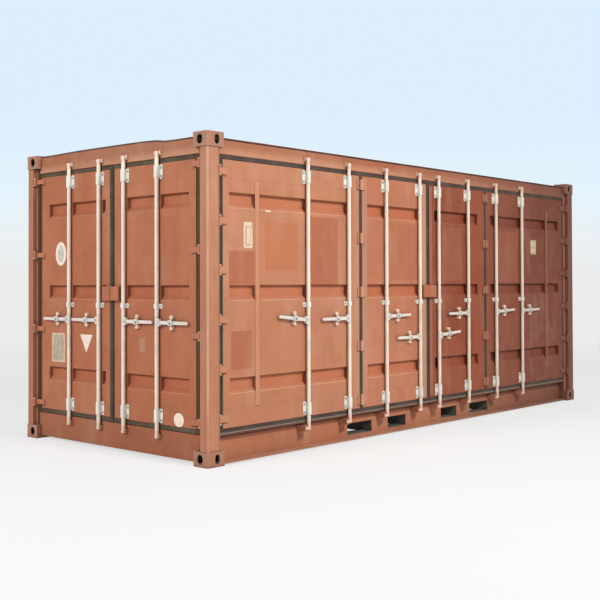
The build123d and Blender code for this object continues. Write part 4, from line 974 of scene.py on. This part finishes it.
def bead(name, path):
    """A rippled bead along straight runs between places."""
    mesh = bmesh.new()
    centres = []
    for start, stop in zip(path, path[1:]):
        count = max(2, int((stop - start).length / BEAD_STEP))
        centres += [start.lerp(stop, k / count) for k in range(count)]
    centres.append(path[-1])
    turns = [math.pi * 2 * number / BEAD_SIDES for number in range(BEAD_SIDES)]
    rings = []
    for k, centre in enumerate(centres):
        after = centres[min(k + 1, len(centres) - 1)]
        ahead = (after - centres[max(k - 1, 0)]).normalized()
        across = ahead.orthogonal().normalized()
        other = ahead.cross(across)
        swell = BEAD_RADIUS * (0.86 + 0.1 * math.sin(k * 2.1) + 0.06 * math.sin(k * 0.7 + 1.3))
        spokes = [across * math.cos(t) + other * math.sin(t) for t in turns]
        rings.append([mesh.verts.new(centre + spoke * swell) for spoke in spokes])
    for low, high in zip(rings, rings[1:]):
        for k in range(BEAD_SIDES):
            after = (k + 1) % BEAD_SIDES
            mesh.faces.new((low[k], low[after], high[after], high[k]))
    mesh.faces.new(rings[0])
    mesh.faces.new(rings[-1])
    for facet in mesh.faces:
        facet.smooth = True
    add_piece(name, mesh, "shell", bead_paint)


for x_name, sx in (("door", -1), ("blind", 1)):
    for y_name, sy in (("near", -1), ("far", 1)):
        for level, z in BEAD_Z:
            corner_x = sx * (HALF_X - BEAD_INSIDE)
            corner_y = sy * (HALF_Y - BEAD_INSIDE)
            path = [
                Vector((sx * (HALF_X - BEAD_ALONG_SIDE), corner_y, z)),
                Vector((corner_x - sx * BEAD_CORNER, corner_y, z)),
                Vector((corner_x, corner_y - sy * BEAD_CORNER, z)),
                Vector((corner_x, sy * (HALF_Y - BEAD_ALONG_END), z)),
            ]
            bead(f"{x_name}_{y_name}_{level}_casting_weld", path)

# Layers of the flat marks: how far their back and front lie outside the leaf's face, and their
# chamfer
FIRST = (-SUNK, 0.0008, 0.0004)
SECOND = (0.0007, 0.0014, 0.0003)
LABEL_FRAME = (0.0007, 0.0013, 0.0003)
LABEL_FIELD = (0.0012, 0.0018, 0.0003)
PLATE_RIM = (-SUNK, 0.0012, 0.0004)
PLATE_FIELD = (0.0011, 0.0023, 0.0004)


def mark(name, body, face, outlines, layer, finish):
    """Thin plates on a leaf, as one piece."""
    back, front, chamfer = layer
    form = Form(face)
    for outline in outlines:
        form.plate(outline, LEAF_FACE - back, LEAF_FACE - front, chamfer)
    form.finish(name, body, finish, "paint")


def door_mark(name, outline, layer, finish):
    mark(f"left_door_{name}", "left_door", end, [outline], layer, finish)


# Blank plates and plain marks, in the places of the painted and pasted ones
PLATE = (-0.784, 0.841)
OVAL = (-0.75, 1.683)
door_mark("plate_rim", rounded(*PLATE, 0.2, 0.262, 0.006), PLATE_RIM, rim_coat)
door_mark("blank_plate", rounded(*PLATE, 0.158, 0.222, 0.004), PLATE_FIELD, plate_coat)
form = Form(end)
for du in (-0.088, 0.088):
    for dz in (-0.12, 0.12):
        form.rivet(PLATE[0] + du, PLATE[1] + dz, LEAF_FACE - 0.0011, radius=0.004, height=0.002)
form.finish("left_door_plate_rivets", "left_door", bolt_gear, "gear")
door_mark("oval_rim", oval(*OVAL, 0.158, 0.212), FIRST, white_coat)
door_mark("oval_middle", oval(*OVAL, 0.094, 0.15), SECOND, grey_coat)
door_mark("triangle", [(-0.461, 0.97), (-0.283, 0.97), (-0.372, 0.812)], FIRST, white_coat)
disc = oval(0.836, 0.333, 0.118, 0.112)
mark("right_door_disc", "right_door", end, [disc], FIRST, white_coat)
for name, outlines, layer, finish in (
    ("leaf_1_label", [rounded(-2.54, 1.802, 0.1, 0.21, 0.006)], FIRST, cream_coat),
    ("leaf_1_label_frame", [rounded(-2.54, 1.796, 0.06, 0.16, 0.004)], LABEL_FRAME, olive_coat),
    ("leaf_1_label_field", [rounded(-2.536, 1.8, 0.036, 0.14, 0.004)], LABEL_FIELD, cream_coat),
    ("leaf_4_label", [rounded(2.125, 1.816, 0.12, 0.162, 0.006)], FIRST, label_coat),
    (
        "leaf_4_label_bands",
        [rounded(2.125, z, 0.1, 0.02, 0.005) for z in (1.886, 1.816, 1.75)],
        SECOND,
        olive_coat,
    ),
):
    mark(name, "shell", side, outlines, layer, finish)


# Lips of the seals, which lap over the leaves
def lips(name, body, face, spans, finish):
    """Upright rubber lips between places along a face."""
    form = Form(face)
    for low, high in spans:
        outline = box(low, high, LEAF_LOW, LEAF_HIGH)
        form.loft([(outline, LEAF_FACE + 0.0004), (outline, LEAF_FACE - 0.0006)])
    form.finish(name, body, finish, "seal")


EDGE_LIPS = [(-2.835, -2.822), (2.822, 2.835), (-0.029, -0.018), (0.018, 0.029)]
FOLD_LIP_SHIFT = 0.0175
FOLD_LIP_REACH = 0.005
FOLD_LIPS = [
    (fold + shift - FOLD_LIP_REACH, fold + shift + FOLD_LIP_REACH)
    for fold in (-FOLD, FOLD)
    for shift in (-FOLD_LIP_SHIFT, FOLD_LIP_SHIFT)
]
lips("side_leaf_lips", "shell", side, EDGE_LIPS + FOLD_LIPS, side_rubber)
lips("left_door_lips", "left_door", end, [(-END_EDGE, -1.04), (-0.04, -0.0185)], end_rubber)
lips("right_door_lips", "right_door", end, [(1.04, END_EDGE), (0.0185, 0.028)], end_rubber)

# Painted shadow: thin dark strips under the hinge blades and the overlap block
SHADOW_LINE_HIGH = 0.006
SHADOW_LINE_LAYER = (LEAF_FACE + 0.0004, LEAF_FACE - 0.0012, 0.0003)


def seams(name, body, face, places):
    """Thin dark strips of painted shadow, each from its two ends and its upper edge."""
    form = Form(face)
    for low, high, z in places:
        form.plate(box(low, high, z - SHADOW_LINE_HIGH, z), *SHADOW_LINE_LAYER)
    form.finish(name, body, shadow_strip_paint, "paint")


SIDE_HINGE_Z = [0.356 + 0.388 * k - 0.036 for k in range(6)]
END_HINGE_Z = [0.332 + 0.673 * k - 0.03 for k in range(4)]
FOLD_HINGE_Z = [FOLD_HINGE_FOOT + FOLD_HINGE_PITCH * k for k in range(5)]
side_places = [(-2.834, -2.784, z) for z in SIDE_HINGE_Z]
side_places += [(2.79, 2.834, z) for z in SIDE_HINGE_Z]
side_places += [(fold - 0.058, fold + 0.058, z) for fold in (-FOLD, FOLD) for z in FOLD_HINGE_Z]
side_places += [(-0.118, 0.102, 1.267)]
seams("side_shadow_lines", "shell", side, side_places)
seams("left_door_shadow_lines", "left_door", end, [(-1.045, -0.985, z) for z in END_HINGE_Z])
seams("right_door_shadow_lines", "right_door", end, [(0.985, 1.045, z) for z in END_HINGE_Z])

# Screw heads of the floor: where the first row lies, the pitch of the rows, and places across
SCREW_START = 2.755
SCREW_PITCH = 0.29
SCREW_ROWS = (-1.05, -0.62, -0.2, 0.2, 0.62, 1.05)
form = Form(lambda u, v, depth: Vector((u, v, FLOOR_TOP + 0.0012 - depth)))
for x in [k * SCREW_PITCH - SCREW_START for k in range(20)]:
    for y in SCREW_ROWS:
        form.rivet(x, y, 0.0015, radius=0.007, height=0.001)
form.finish("floor_screws", "shell", bolt_gear, "gear")

# Floor, lit by the same lamps and fading into the backdrop far from the container
GROUND = 30
ground = bpy.data.meshes.new("ground")
ground_corners = [(x * GROUND, y * GROUND, 0) for x, y in ((-1, -1), (1, -1), (1, 1), (-1, 1))]
ground.from_pydata(ground_corners, [], [(0, 1, 2, 3)])
ground_object = bpy.data.objects.new("ground", ground)
bpy.context.scene.collection.objects.link(ground_object)

g = material("ground")
away = g.add("ShaderNodeVectorMath", operation="LENGTH")
g.set(away.inputs[0], g.place)
near = g.ramp(away.outputs["Value"], 5.0, 16.0, 1.0, 0.0)
matt = g.add("ShaderNodeBsdfDiffuse")
g.set(matt.inputs["Color"], (0.8, 0.8, 0.8))
glow = g.add("ShaderNodeEmission")
g.set(glow.inputs["Color"], (0.9, 0.9, 0.9))
lit = g.blend(g.both(g.looked_at(), 0.72), matt.outputs[0], glow.outputs[0])
clear = g.add("ShaderNodeBsdfTransparent").outputs[0]
g.output("ShaderNodeOutputMaterial", g.blend(near, clear, lit))
ground.materials.append(g.owner)

# World: plain light for the object, and a pale sky behind it
SKY = (
    (0.0, (0.83, 0.835, 0.83)),
    (0.035, (0.84, 0.87, 0.885)),
    (0.09, (0.775, 0.9, 0.985)),
    (0.16, (0.72, 0.86, 0.98)),
)
world = bpy.data.worlds.new("studio")
bpy.context.scene.world = world
g = Graph(world)
sky = g.add("ShaderNodeValToRGB")
g.set(sky.inputs[0], g.axes(g.generated)["Z"])
stops = sky.color_ramp.elements
stops[1].position = SKY[-1][0]
for height, _ in SKY[1:-1]:
    stops.new(height)
for stop, (_, tone) in zip(stops, SKY):
    stop.color = (*tone, 1.0)
back = g.add("ShaderNodeBackground")
g.set(back.inputs["Color"], sky.outputs[0])
fill = g.add("ShaderNodeBackground")
g.set(fill.inputs["Color"], (1.0, 0.985, 0.965))
g.set(fill.inputs["Strength"], 0.4)
g.output("ShaderNodeOutputWorld", g.blend(g.looked_at(), fill.outputs[0], back.outputs[0]))


def lamp(name, place, aim, width, height, power, color=(1.0, 1.0, 1.0)):
    """A soft rectangular lamp that points at a place."""
    light = bpy.data.lights.new(name, "AREA")
    light.shape = "RECTANGLE"
    light.size = width
    light.size_y = height
    light.energy = power
    light.color = color
    made = bpy.data.objects.new(name, light)
    made.location = place
    made.rotation_euler = (Vector(aim) - Vector(place)).to_track_quat("-Z", "Y").to_euler()
    bpy.context.scene.collection.objects.link(made)


WARM = (1.0, 0.98, 0.95)
lamp("key", (-2.3, -9.9, 8.0), (-1.2, -1.2, 1.3), 1.4, 1.4, 930.0, WARM)
lamp("end", (-12.0, 0.4, 6.6), (-3.0, 0.0, 1.3), 1.8, 1.8, 620.0, WARM)
lamp("top", (0.0, 0.0, 9.0), (0.0, 0.0, 0.0), 9.0, 6.0, 120.0)

# Camera at the photograph's place, solved on the corners of the castings
PLACE = (-8.300, -6.821, 1.419)
YAW = math.radians(42.473)
PITCH = math.radians(0.848)
ROLL = math.radians(-0.165)
ahead = math.cos(PITCH)
forward = Vector((ahead * math.cos(YAW), ahead * math.sin(YAW), math.sin(PITCH)))
right = Vector((math.sin(YAW), -math.cos(YAW), 0.0))
up = right.cross(forward)
rolled_right = right * math.cos(ROLL) + up * math.sin(ROLL)
rolled_up = up * math.cos(ROLL) - right * math.sin(ROLL)
lens = bpy.data.cameras.new("camera")
lens.lens = 60.23
lens.sensor_width = 36.0
lens.shift_x = 0.0292
lens.shift_y = -0.0538
lens.clip_start = 0.1
lens.clip_end = 200.0
camera = bpy.data.objects.new("camera", lens)
turn = Matrix((rolled_right, rolled_up, -forward)).transposed().to_4x4()
camera.matrix_world = Matrix.Translation(PLACE) @ turn
bpy.context.scene.collection.objects.link(camera)
bpy.context.scene.camera = camera
bpy.context.scene.view_settings.view_transform = "Standard"
